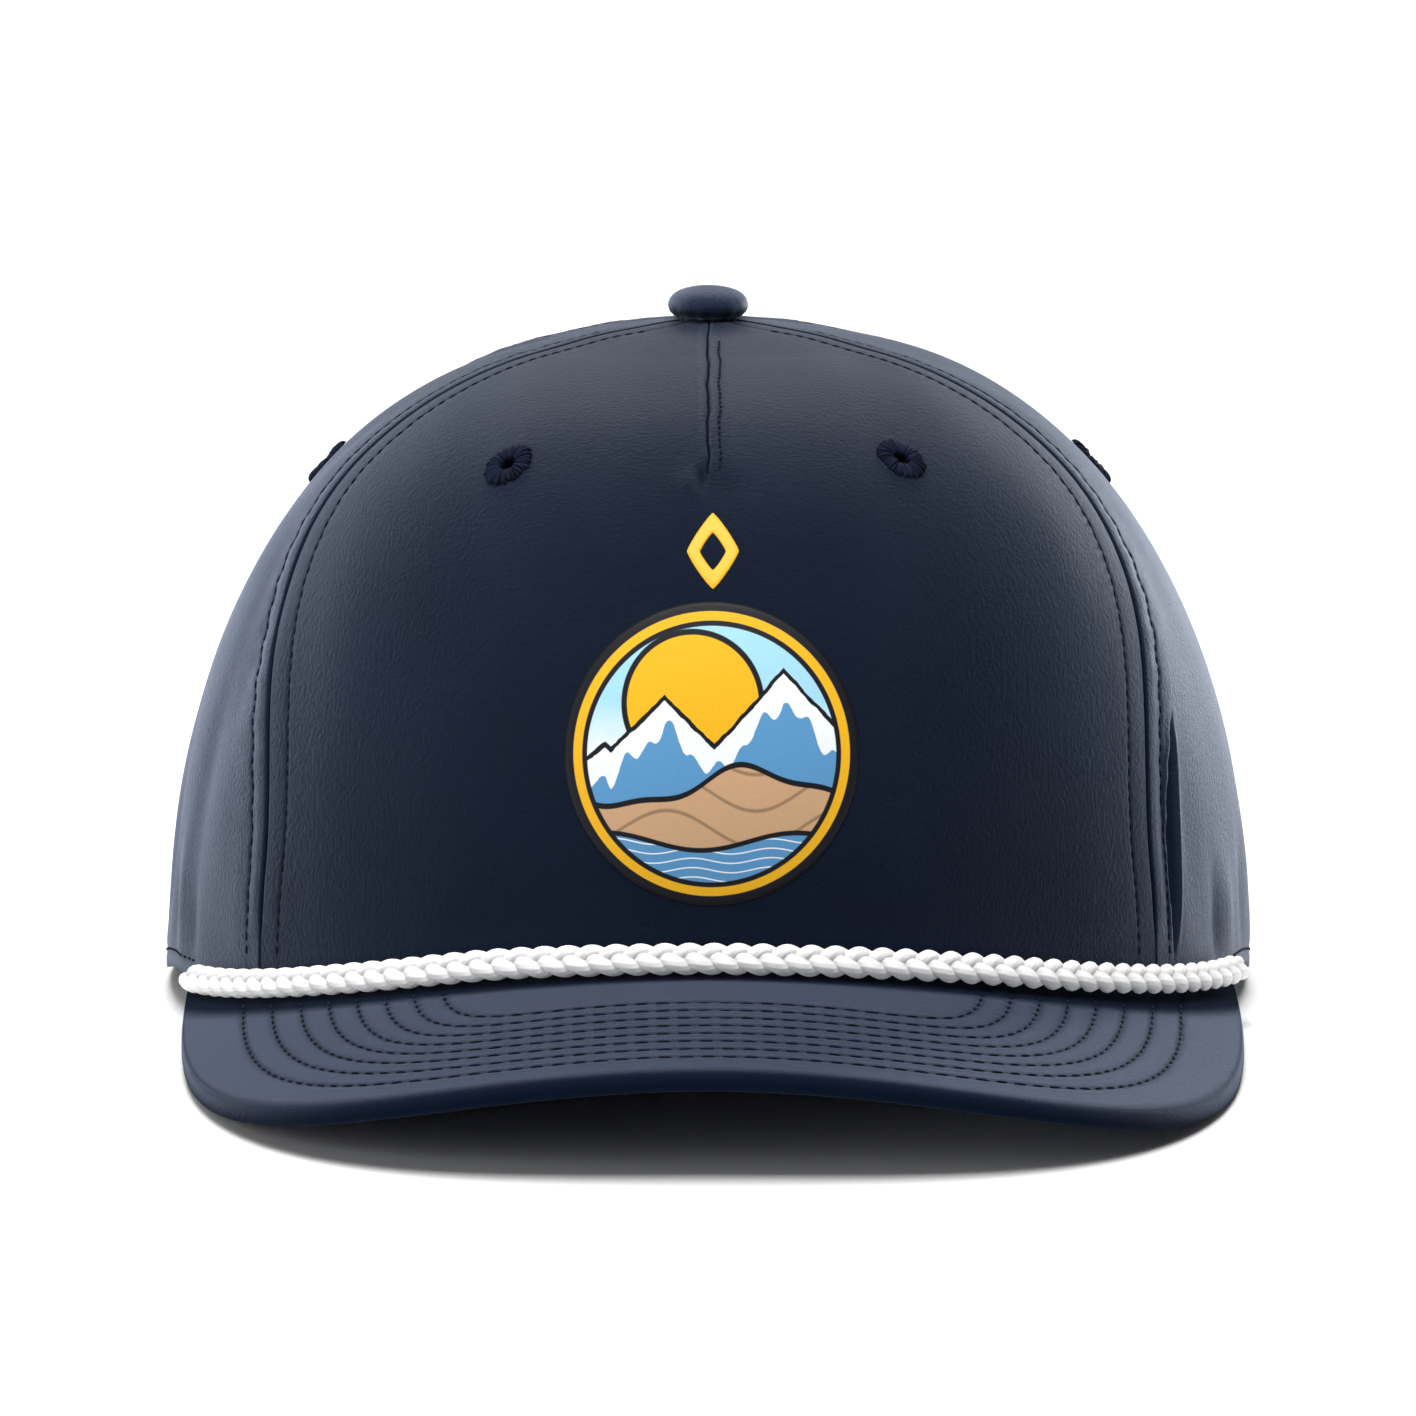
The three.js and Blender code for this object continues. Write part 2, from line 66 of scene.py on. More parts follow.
RIM = {"half_width": 92.4, "front": 95.0, "back": 97.0, "power": 2.1}
APEX = {"y": 2.9, "z": 111.4, "hole": 3.0}
PEAK = {"rise": 2.4, "from": 8.0, "to": 30.0}
# The cloth sags a little round the button
SAG = {"radius": 12.0, "wide": 8.0, "rise": -0.8}
WALL = 1.8
DOME = {
    "side": {"across": 2.8, "up": 2.04},
    "front": {"across": 3.2, "up": 2.2},
    "back": {"across": 2.6, "up": 1.9},
}
VISOR = {
    "half_width": 87.5,
    "start_y": -33.5,
    "reach": 123.6,
    "power": 3.1,
    "aside": 0.7,
    "skew": 0.3,
    "height_at_crown": 20.8,
    "slope": math.tan(math.radians(2.73)),
    "arch": 0.00217,
    "arch_at_tip": 0.0027,
    "arch_start_y": -35.0,
    "tip_y": -165.0,
    "thickness": 3.3,
    "edge_radius": 1.55,
    "end_angle": 70.0,
}
# Stitched rows of the visor: the outermost row's half width and reach, and the step to the next row
VISOR_ROWS = {
    "half_width": 77.0,
    "width_step": 4.73,
    "reach": 113.9,
    "reach_step": 4.71,
    "power": 3.5,
    "power_gain": 0.075,
    "half_step": 2.36,
    "swell": 0.25,
    "groove_wide": 0.62,
}
HEM_DOWN_ANGLE = 100.0
ARCH = {"half_width": 36.0, "straight": 8.0, "clear": 1.4}
# Cloth is cut away this near to an eyelet's middle
EYELET_CLEAR = 2.9
# Pieces that would reach the floor end this far over it
OVER_FLOOR = 0.02
SEAM_FADE = (0.03, 0.09)


def table(columns, *rows):
    """Rows of numbers under named columns, as one dictionary for each row."""
    return [dict(zip(columns.split(), row)) for row in rows]


# Broad folds and dents of the cloth
FOLDS = table(
    "angle along wide high rise",
    (58, 0.16, 4.5, 0.13, -0.8),
    (66, 0.2, 6, 0.2, 0.8),
    (-60, 0.18, 5, 0.16, 0.7),
    (84, 0.08, 4, 0.1, -0.6),
    (-82, 0.08, 4, 0.1, -0.6),
    (150, 0.45, 14, 0.16, -0.8),
    (-146, 0.42, 14, 0.16, -0.9),
    (-112, 0.68, 26, 0.13, -0.9),
)

# Small soft folds that only the cloth shows
SOFT_FOLDS = table(
    "angle along wide high rise",
    (-63, 0.34, 3.2, 0.12, -0.5),
    (-68, 0.22, 3.0, 0.16, -0.5),
    (-75, 0.06, 1.8, 0.06, -0.5),
    (-71, 0.07, 1.5, 0.07, 0.7),
    (-67, 0.05, 1.5, 0.05, -0.5),
    (65, 0.06, 1.4, 0.05, -0.6),
    (69, 0.06, 1.6, 0.05, 0.5),
    (76, 0.07, 1.8, 0.06, -0.6),
    (81, 0.09, 2.2, 0.07, 0.4),
    (90, 0.3, 7, 0.16, 0.3),
    (-0.9, 0.613, 0.8, 0.018, -0.6),
    (-2.8, 0.604, 1.5, 0.024, 0.36),
    (2.6, 0.597, 2.2, 0.03, -0.26),
    (-26, 0.2, 12, 0.12, 0.3),
    (30, 0.3, 10, 0.2, -0.3),
    (168, 0.5, 8, 0.1, 0.4),
    (-168, 0.48, 8, 0.1, 0.35),
)

FORM = "at wide rise"
# Lie of the cloth as soft ridges and grooves: beside a seam, beside the dart and above the hem
SEAM_FORMS = {
    "plain": table(FORM, (0.0, 0.34, -0.6), (2.4, 1.5, 0.08), (4.8, 0.4, -0.12), (6.8, 1.4, 0.04)),
    "lapped": table(FORM, (0.0, 0.32, -0.6), (1.8, 1.2, 0.26), (3.8, 0.42, -0.2), (6.6, 2.2, 0.08)),
    "twin": table(FORM, (0.0, 0.34, -0.6), (1.5, 0.9, 0.16), (3.1, 0.4, -0.16), (5.2, 1.5, 0.12)),
}
DART_FORMS = table(FORM, (0.0, 0.26, -0.9), (1.0, 0.6, 0.14), (1.9, 0.35, -0.06))
HEM_FORMS = table(FORM, (1.4, 1.1, 0.2), (3.0, 0.6, -0.3), (5.2, 1.6, 0.1))
SEAM_STITCHES = {"plain": 4.8, "lapped": 3.8, "twin": 3.1}
# Painted shade in a seam's groove and along its stitch line
SEAM_PAINTED_SHADE = {"wide": 0.42, "stitch": 0.2, "stitch_wide": 0.4}
DART_STITCH = 1.9
HEM_STITCH = 3.0
# The front seams' strips are widest at this height of the crown
SEAM_SPREAD = {"along": 0.42, "high": 0.26, "gain": 0.35}
# Panels narrower than these half widths have their strips, or their columns, drawn together
FULL_HALF = 13.0
COLUMN_HALF = 11.0
# The dart runs down from the button to its tip, and wanders in two waves; its dark keys give the painted
# shade along its groove
DART = {
    "tip": 0.613,
    "full": 0.65,
    "dark_tip": 0.612,
    "dark_full": 0.63,
    "dark": 0.9,
    "dark_wide": 0.25,
}
DART_WAVES = table("swing turns", (0.12, 55), (0.07, 131))

# A lens shaped crease beside the right front seam, from its low end to its high end
CREASE = {
    "low": 0.025,
    "high": 0.28,
    "from_seam_low": 5.6,
    "from_seam_high": 8.6,
    "half_width": 2.2,
    "depth": 1.7,
    "lip": 0.4,
}

# Soft seeded waves over each panel, and gathers beside its seams: the stiffened front hardly shows them
RIPPLES = {"count": 9, "shortest": 16, "longest": 46, "slant": 0.55, "spread": 2.2}
GATHERS = {"pitch": 6.3, "wide": 3.0, "cloth": 150}
FIRM = {"soft": 0.1, "gather": 0.05, "gather_at": 6.5}
LIMP = {"soft": 0.3, "gather": 0.16, "gather_at": 5.5}
PANELS = {
    "front_panel": {"from": "front_left", "to": "front_right", "between": 52, "seed": 3, **FIRM},
    "side_panel_right": {"from": "front_right", "to": "back_right", "between": 84, "seed": 5, **LIMP},
    "side_panel_left": {"from": "back_left", "to": "front_left", "between": 84, "seed": 7, **LIMP},
    "back_panel_right": {"from": "back_right", "to": "back", "between": 72, "seed": 11, **LIMP},
    "back_panel_left": {"from": "back_minus", "to": "back_left", "between": 72, "seed": 13, **LIMP},
}
PANEL_ROWS = 136
# Distances of a panel's columns from its edge, close together where the cloth is worked
EDGE_COLUMNS = {
    "plain": {"first": -0.35, "last": 7.4, "count": 36},
    "lapped": {"first": 0.0, "last": 9.2, "count": 38},
    "twin": {"first": -0.08, "last": 6.8, "count": 28},
    "dart": {"first": 0.0, "last": 3.6, "count": 22},
}

EYELETS = {
    "eyelet_front_left": {"panel": "front_panel", "angle": -30.2, "along": 0.631},
    "eyelet_front_right": {"panel": "front_panel", "angle": 29.8, "along": 0.643},
    "eyelet_side_left": {"panel": "side_panel_left", "angle": -96, "along": 0.578},
    "eyelet_side_right": {"panel": "side_panel_right", "angle": 96, "along": 0.578},
    "eyelet_back_left": {"panel": "back_panel_left", "angle": -149, "along": 0.6},
    "eyelet_back_right": {"panel": "back_panel_right", "angle": 149, "along": 0.6},
}


def smoothstep(value, low, high):
    share = np.clip((value - low) / (high - low), 0, 1)
    return share * share * (3 - 2 * share)


def bump(value, middle, wide):
    return np.exp(-(((value - middle) / wide) ** 2))


def unit(vectors):
    return vectors / np.linalg.norm(vectors, axis=-1, keepdims=True)


def turn_from_front(angle):
    return np.abs((np.asarray(angle, float) + 180) % 360 - 180)


# The crown's form


def rim_point(angle):
    sine, cosine = np.sin(np.radians(angle)), np.cos(np.radians(angle))
    depth = np.where(cosine > 0, RIM["front"], RIM["back"])
    power = RIM["power"]
    reach = (np.abs(sine) / RIM["half_width"]) ** power + (np.abs(cosine) / depth) ** power
    radius = reach ** (-1 / power)
    return radius * sine, -radius * cosine


def beyond_rim(x, y):
    """How far a place of the plan lies outside the crown's rim."""
    rim_x, rim_y = rim_point(np.degrees(np.arctan2(x, -y)))
    return np.hypot(x, y) - np.hypot(rim_x, rim_y)


def visor_top(x, y):
    forward = np.clip((VISOR["arch_start_y"] - y) / (VISOR["arch_start_y"] - VISOR["tip_y"]), 0, 1)
    arch = VISOR["arch"] + (VISOR["arch_at_tip"] - VISOR["arch"]) * forward
    return VISOR["height_at_crown"] + (y + RIM["front"]) * VISOR["slope"] - arch * x * x


def hem_on_visor(angle):
    return 1 - smoothstep(turn_from_front(angle), VISOR["end_angle"], HEM_DOWN_ANGLE)


def hem_height(angle):
    x, y = rim_point(np.minimum(turn_from_front(angle), VISOR["end_angle"]))
    return (visor_top(x, y) + 0.3) * hem_on_visor(angle)


def dome_powers(angle):
    cosine = np.cos(np.radians(angle))
    share = cosine**2
    powers = []
    for name in ("across", "up"):
        end = np.where(cosine > 0, DOME["front"][name], DOME["back"][name])
        powers.append(DOME["side"][name] + (end - DOME["side"][name]) * share)
    return powers


def dome(angle, along):
    """The plain dome; along runs from 0 at the rim to 1 at the apex."""
    angle, along = np.broadcast_arrays(np.asarray(angle, float), np.asarray(along, float))
    across_power, up_power = dome_powers(angle)
    theta = along * np.pi / 2
    spread = np.cos(theta) ** (2 / across_power)
    lift = np.sin(theta) ** (2 / up_power)
    rim_x, rim_y = rim_point(angle)
    hem = hem_height(angle)
    x = rim_x * spread
    y = (rim_y - APEX["y"]) * spread
    peak = PEAK["rise"] * (1 - smoothstep(np.hypot(x, y), PEAK["from"], PEAK["to"]))
    return np.stack([x, APEX["y"] + y, hem + (APEX["z"] - hem) * lift + peak], -1)


def dome_normal(angle, along):
    angle, along = np.broadcast_arrays(np.asarray(angle, float), np.asarray(along, float))
    low, high = np.maximum(along - 0.004, 0), np.minimum(along + 0.004, 0.999)
    up = dome(angle, high) - dome(angle, low)
    around = dome(angle + 0.3, along) - dome(angle - 0.3, along)
    return unit(np.cross(around, up))


def round_scale(angle, along):
    """Millimetres of cloth for each degree round the crown."""
    return np.linalg.norm(dome(angle + 0.5, along) - dome(angle - 0.5, along), axis=-1)


def front_seam(along):
    return 51 + 16 * smoothstep(along, 0.12, 0.62) + 4 * smoothstep(along, 0.75, 1)


def back_seam(along):
    return 117 + 4 * smoothstep(along, 0.1, 0.9)


SEAMS = {
    "front_right": {"angle": front_seam, "before": "plain", "after": "lapped"},
    "front_left": {"angle": lambda along: -front_seam(along), "before": "lapped", "after": "plain"},
    "back_right": {"angle": back_seam, "before": "twin", "after": "twin"},
    "back_left": {"angle": lambda along: -back_seam(along), "before": "twin", "after": "twin"},
    "back": {"angle": lambda along: 180 + 0 * along, "before": "twin", "after": "twin"},
    "back_minus": {"angle": lambda along: -180 + 0 * along, "before": "twin", "after": "twin"},
}


def narrowed(half):
    return np.clip(half / FULL_HALF, 0.1, 1)


def seam_room(half, along):
    """How wide a seam's strips are spread, drawn together where the panel's half width is small."""
    spread = 1 + SEAM_SPREAD["gain"] * bump(along, SEAM_SPREAD["along"], SEAM_SPREAD["high"])
    return narrowed(half) * spread


def forms_rise(distance, forms):
    return sum(form["rise"] * bump(distance, form["at"], form["wide"]) for form in forms)


def seam_rise(distance, kind, room):
    tuck = np.where(distance < 0, 1.2 * distance, 0)
    return forms_rise(distance / room, SEAM_FORMS[kind]) * (0.45 + 0.55 * np.minimum(room, 1)) + tuck


def seam_painted_shade(distance, kind, room):
    """Painted shade of the cloth beside a seam: in the seam itself and along its stitches."""
    reach = distance / room
    stitched = bump(reach, SEAM_STITCHES[kind], SEAM_PAINTED_SHADE["stitch_wide"])
    return bump(reach, 0.0, SEAM_PAINTED_SHADE["wide"]) + SEAM_PAINTED_SHADE["stitch"] * stitched


def fold_rise(angle, along, table):
    rise = 0
    for fold in table:
        turn = (angle - fold["angle"] + 180) % 360 - 180
        rise = rise + fold["rise"] * bump(turn, 0, fold["wide"]) * bump(along, fold["along"], fold["high"])
    return rise


def from_dart(angle, along):
    """Distance to the right of the dart, which wanders a little."""
    wander = sum(wave["swing"] * np.sin(along * wave["turns"]) for wave in DART_WAVES)
    return angle * round_scale(angle, along) + wander


def dart_rise(angle, along, narrow):
    groove = forms_rise(np.abs(from_dart(angle, along)) / narrow, DART_FORMS)
    return smoothstep(along, DART["tip"], DART["full"]) * groove * (0.5 + 0.5 * narrow)


# Painted shade along the dart's groove, fading in below its tip
def dart_painted_shade(angle, along):
    groove = bump(from_dart(angle, along), 0, DART["dark_wide"])
    return smoothstep(along, DART["dark_tip"], DART["dark_full"]) * DART["dark"] * groove


def crease_rise(from_seam, along):
    climb = np.clip((along - CREASE["low"]) / (CREASE["high"] - CREASE["low"]), 0, 1)
    middle = CREASE["from_seam_low"] + (CREASE["from_seam_high"] - CREASE["from_seam_low"]) * climb
    inside = (along > CREASE["low"]) & (along < CREASE["high"])
    half = CREASE["half_width"] * np.sin(np.pi * climb) ** 0.8 * inside + 0.01
    off = np.abs(from_seam - middle)
    hollow = np.clip(1 - (off / half) ** 2, 0, 1) ** 0.8 * np.clip(half / CREASE["half_width"], 0, 1)
    lips = bump(off, half + 0.25, 0.6) * smoothstep(half, 0.2, 1.5)
    return CREASE["lip"] * lips - CREASE["depth"] * hollow


def ripples(across, up, seed, strength):
    chance = np.random.default_rng(seed)
    total = 0
    for _ in range(RIPPLES["count"]):
        length = chance.uniform(RIPPLES["shortest"], RIPPLES["longest"])
        heading = chance.normal(0, RIPPLES["slant"])
        phase = chance.uniform(0, 2 * np.pi)
        wave = across * np.cos(heading) + up * np.sin(heading) * 0.6
        total = total + np.sin(2 * np.pi * wave / length + phase) * length / RIPPLES["longest"]
    return strength * total / RIPPLES["spread"]


def panel_places(panel, angle, along):
    """Distances from a panel's two edges, the panel's middle and the room for its seams' strips."""
    first, last = (SEAMS[PANELS[panel][end]]["angle"](along) for end in ("from", "to"))
    scale = round_scale(angle, along)
    middle = (first + last) / 2
    half = (last - first) / 2 * round_scale(middle, along)
    return (angle - first) * scale, (last - angle) * scale, (angle - middle) * scale, half


def gathered(nearest, along, spec):
    up = along * GATHERS["cloth"]
    chance = spec["seed"] * 1.7
    folds = np.sin(2 * np.pi * up / GATHERS["pitch"] + 1.1 * np.sin(up / 9 + chance) + chance)
    folds = folds * (0.6 + 0.4 * np.sin(up / 17 + 2 * chance))
    return folds * bump(nearest, spec["gather_at"], GATHERS["wide"]) * spec["gather"]


def panel_rise(panel, angle, along):
    """Rise of a panel's cloth over the plain dome."""
    spec = PANELS[panel]
    from_start, from_end, across, half = panel_places(panel, angle, along)
    room, narrow = seam_room(half, along), narrowed(half)
    seams = seam_rise(from_start, SEAMS[spec["from"]]["after"], room)
    seams = seams + seam_rise(from_end, SEAMS[spec["to"]]["before"], room)
    nearest = np.minimum(from_start, from_end)
    free = smoothstep(nearest, 2, 11) * smoothstep(along, 0.0, 0.06)
    soft = ripples(across, along * GATHERS["cloth"], spec["seed"], spec["soft"]) * free
    folds = fold_rise(angle, along, FOLDS) * smoothstep(along, 0.02, 0.08)
    small = fold_rise(angle, along, SOFT_FOLDS) * smoothstep(along, 0.0, 0.03)
    worked = (gathered(nearest, along, spec) + soft) * narrow
    rise = seams * smoothstep(along, *SEAM_FADE) + worked + folds + small
    above_hem = dome(angle, along)[..., 2] - hem_height(angle)
    rise = rise + forms_rise(above_hem, HEM_FORMS) * (1 - hem_on_visor(angle))
    if panel == "front_panel":
        rise = rise + dart_rise(angle, along, narrow)
    if panel == "side_panel_right":
        rise = rise + crease_rise(from_start, along)
    return rise


def panel_painted_shade(panel, angle, along):
    """Painted shade on a place of a panel's cloth, in its seams, its stitch lines, its dart and its
    hollows.
    """
    spec = PANELS[panel]
    from_start, from_end, _, half = panel_places(panel, angle, along)
    room = seam_room(half, along)
    dark = seam_painted_shade(from_start, SEAMS[spec["from"]]["after"], room)
    dark = dark + seam_painted_shade(from_end, SEAMS[spec["to"]]["before"], room)
    if panel == "front_panel":
        dark = dark + dart_painted_shade(angle, along)
    painted_shade = np.clip(-panel_rise(panel, angle, along), 0, 1) * smoothstep(along, 0.0, 0.05)
    return np.clip(dark + 0.5 * painted_shade, 0, 1)


def cloth_point(panel, angle, along, lift=0.0):
    place = dome(angle, along)
    from_button = np.hypot(place[..., 0], place[..., 1] - APEX["y"])
    sag = SAG["rise"] * bump(from_button, SAG["radius"], SAG["wide"])
    rise = panel_rise(panel, angle, along) + sag + lift
    return place + dome_normal(angle, along) * np.asarray(rise)[..., None]


def path_lengths(path):
    """How far each point of a path lies from its start, along the path."""
    steps = np.linalg.norm(np.diff(path, axis=0), axis=1)
    return np.concatenate([[0], np.cumsum(steps)])


def sampled(values, travelled, at):
    """Vectors along a path, read at other distances from its start."""
    return np.stack([np.interp(at, travelled, values[:, axis]) for axis in range(3)], -1)


def row_heights(count):
    """Heights along the crown whose rows lie evenly spaced, and their distance from the hem."""
    top = 2 / np.pi * math.acos((APEX["hole"] / RIM["front"]) ** (DOME["side"]["across"] / 2))
    fine = np.linspace(0, top, 800)
    travelled = path_lengths(dome(0, fine))
    wanted = np.linspace(0, travelled[-1], count)
    return np.interp(wanted, travelled, fine), wanted


# Mesh work


def in_frame(points):
    """Points of the crown's own frame, in millimetres, as metres of the row's frame."""
    return (np.asarray(points, float) + CROWN_MIDDLE) * MM


def read_points(mesh):
    flat = np.empty(len(mesh.vertices) * 3)
    mesh.vertices.foreach_get("co", flat)
    return flat.reshape(-1, 3)


def write_points(mesh, points):
    mesh.vertices.foreach_set("co", np.ascontiguousarray(points, dtype=np.float32).ravel())
    mesh.update()


def write_flat(mesh, flat):
    """Gives the mesh its flat cloth coordinates, in millimetres, one pair for each point."""
    corners = np.empty(len(mesh.loops), dtype=np.int32)
    mesh.loops.foreach_get("vertex_index", corners)
    layer = mesh.uv_layers.get("Cloth") or mesh.uv_layers.new(name="Cloth")
    layer.uv.foreach_set("vector", np.asarray(flat, dtype=np.float32)[corners].ravel())


def write_share(mesh, name, values):
    layer = mesh.attributes.new(name, "FLOAT", "POINT")
    layer.data.foreach_set("value", np.asarray(values, dtype=np.float32).ravel())


def form_of(mesh):
    form = bmesh.new()
    form.from_mesh(mesh)
    return form


def written(form, mesh):
    form.to_mesh(mesh)
    form.free()
    return mesh


def mapped_grid(name, columns, rows, place):
    """A grid whose points are placed by their column and row.

    place gives the points, their flat coordinates and, where the finish needs it, how much painted shade
    they carry.
    """
    form = bmesh.new()
    bmesh.ops.create_grid(form, x_segments=columns - 1, y_segments=rows - 1, size=0.5)
    mesh = written(form, bpy.data.meshes.new(name))
    at = read_points(mesh)
    column = np.rint((at[:, 0] + 0.5) * (columns - 1)).astype(int)
    row = np.rint((at[:, 1] + 0.5) * (rows - 1)).astype(int)
    points, flat, *dark = place(column, row)
    write_flat(mesh, flat)
    write_points(mesh, in_frame(points))
    for values in dark:
        write_share(mesh, "painted_shade", values)
    return mesh


def closed_up(mesh, merge=0.00001, fill=True):
    """Merges the points that meet and closes open ends, with the faces turned outwards."""
    form = form_of(mesh)
    bmesh.ops.remove_doubles(form, verts=form.verts, dist=merge)
    bmesh.ops.dissolve_degenerate(form, dist=merge / 4, edges=form.edges)
    if fill:
        rims = [edge for edge in form.edges if edge.is_boundary]
        bmesh.ops.holes_fill(form, edges=rims, sides=0)
    bmesh.ops.recalc_face_normals(form, faces=form.faces)
    return written(form, mesh)


def spun(name, outline, steps):
    """A round shape about +Z, from a table of radius and height."""
    form = bmesh.new()
    corners = [form.verts.new((step["radius"], 0, step["height"])) for step in outline]
    edges = [form.edges.new(pair) for pair in zip(corners, corners[1:])]
    bmesh.ops.spin(
        form,
        geom=corners + edges,
        cent=(0, 0, 0),
        axis=(0, 0, 1),
        angle=2 * math.pi,
        steps=steps,
        use_merge=True,
    )
    bmesh.ops.remove_doubles(form, verts=form.verts, dist=0.0001)
    bmesh.ops.recalc_face_normals(form, faces=form.faces)
    return written(form, bpy.data.meshes.new(name))


def copies(name, shape, places, axes):
    """One mesh of many copies of a small shape, each at a place with its own three axes."""
    points = read_points(shape)
    corners = [tuple(face.vertices) for face in shape.polygons]
    moved = np.einsum("nij,kj->nki", axes, points) + places[:, None, :]
    starts = range(0, len(places) * len(points), len(points))
    faces = [tuple(corner + start for corner in face) for start in starts for face in corners]
    joined = bpy.data.meshes.new(name)
    joined.from_pydata(in_frame(moved.reshape(-1, 3)).tolist(), [], faces)
    write_flat(joined, np.tile(points[:, :2], (len(places), 1)))
    chance = np.random.default_rng(len(places)).random(len(places))
    write_share(joined, "tone", np.repeat(chance, len(points)))
    return joined


def add_piece(name, mesh, finish, stands_for=()):
    piece = bpy.data.objects.new(name, mesh)
    bpy.context.scene.collection.objects.link(piece)
    mesh.materials.append(finish)
    mesh.shade_smooth()
    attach(piece, "root")
    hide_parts(*stands_for)
    return piece


def add_wall(piece, thickness, offset=-1):
    wall = piece.modifiers.new("Wall", "SOLIDIFY")
    wall.thickness = thickness
    wall.offset = offset
    wall.use_rim = True


# Stitches

# How stitches differ in length and heading, how flat they are and how far they stand up
STITCH = {"lengths": (0.92, 1.08), "slant": 0.05, "flat": 0.9, "lift": 0.1}


def stitch_shape():
    """A short thread, thick in its middle, along +X with +Z out of the cloth, one unit long."""
    form = bmesh.new()
    bmesh.ops.create_uvsphere(form, u_segments=6, v_segments=5, radius=0.5)
    bmesh.ops.rotate(form, verts=form.verts, cent=(0, 0, 0), matrix=Matrix.Rotation(math.pi / 2, 3, "Y"))
    return written(form, bpy.data.meshes.new("stitch_shape"))


def stitch_places(path, outward, pitch):
    """Where stitches lie on a path: their middles, headings and outward directions."""
    travelled = path_lengths(path)
    count = max(1, int(travelled[-1] / pitch))
    wanted = (np.arange(count) + 0.5) * travelled[-1] / count
    heading = unit(sampled(path, travelled, wanted + 0.3) - sampled(path, travelled, wanted - 0.3))
    return sampled(path, travelled, wanted), heading, unit(sampled(outward, travelled, wanted))


def sewn(name, runs, thread, share):
    """All the stitches of several runs as one mesh; a run is a path and its outward directions."""
    found = [stitch_places(path, outward, thread.pitch * share / MM) for path, outward in runs]
    places, heading, out = (np.concatenate(part) for part in zip(*found))
    side = unit(np.cross(out, heading))
    out = np.cross(heading, side)
    chance = np.random.default_rng(len(places))
    length = thread.length * share / MM * chance.uniform(*STITCH["lengths"], len(places))
    width = thread.width / MM
    slant = chance.normal(0, STITCH["slant"], len(places))[:, None]
    heading = unit(heading + side * slant)
    axes = np.stack([heading * length[:, None], side * width, out * width * STITCH["flat"]], -1)
    return copies(name, stitch_shape(), places + out * STITCH["lift"], axes)


def crown_run(panel, angles, alongs):
    return cloth_point(panel, angles, alongs), dome_normal(angles, alongs)


def seam_run(panel, edge, low, high):
    """A run of stitches beside one edge of a panel, which is where it starts or ends round the crown."""
    along = np.linspace(low, high, 240)
    seam = SEAMS[PANELS[panel][edge]]
    distance = SEAM_STITCHES[seam["after"]] if edge == "from" else -SEAM_STITCHES[seam["before"]]
    centre = seam["angle"](along)
    _, _, _, half = panel_places(panel, centre, along)
    distance = distance * seam_room(half, along)
    angle = centre + distance / round_scale(centre, along)
    angle = centre + distance / round_scale((angle + centre) / 2, along)
    return crown_run(panel, angle, along)


# Shader work


# Turn of the weave's waves for each millimetre of cloth
WEAVE = 2 * math.pi / 0.44


class Value:
    """One output of a shader node. Sums written on it add their Math nodes."""

    def __init__(self, finish, socket):
        self.finish = finish
        self.socket = socket

    def maths(self, operation, *terms):
        return self.finish.node("ShaderNodeMath", {"operation": operation}, dict(enumerate(terms)))

    def __add__(self, other):
        return self.maths("ADD", self, other)

    def __radd__(self, other):
        return self.maths("ADD", other, self)

    def __sub__(self, other):
        return self.maths("SUBTRACT", self, other)

    def __rsub__(self, other):
        return self.maths("SUBTRACT", other, self)

    def __mul__(self, other):
        return self.maths("MULTIPLY", self, other)

    def __rmul__(self, other):
        return self.maths("MULTIPLY", other, self)

    def __truediv__(self, other):
        return self.maths("DIVIDE", self, other)

    def __pow__(self, other):
        return self.maths("POWER", self, other)

    def sine(self):
        return self.maths("SINE", self)

    def size(self):
        return self.maths("ABSOLUTE", self)

    def most(self, other):
        return self.maths("MAXIMUM", self, other)

    def within(self):
        return self.maths("MINIMUM", self.most(0.0), 1.0)


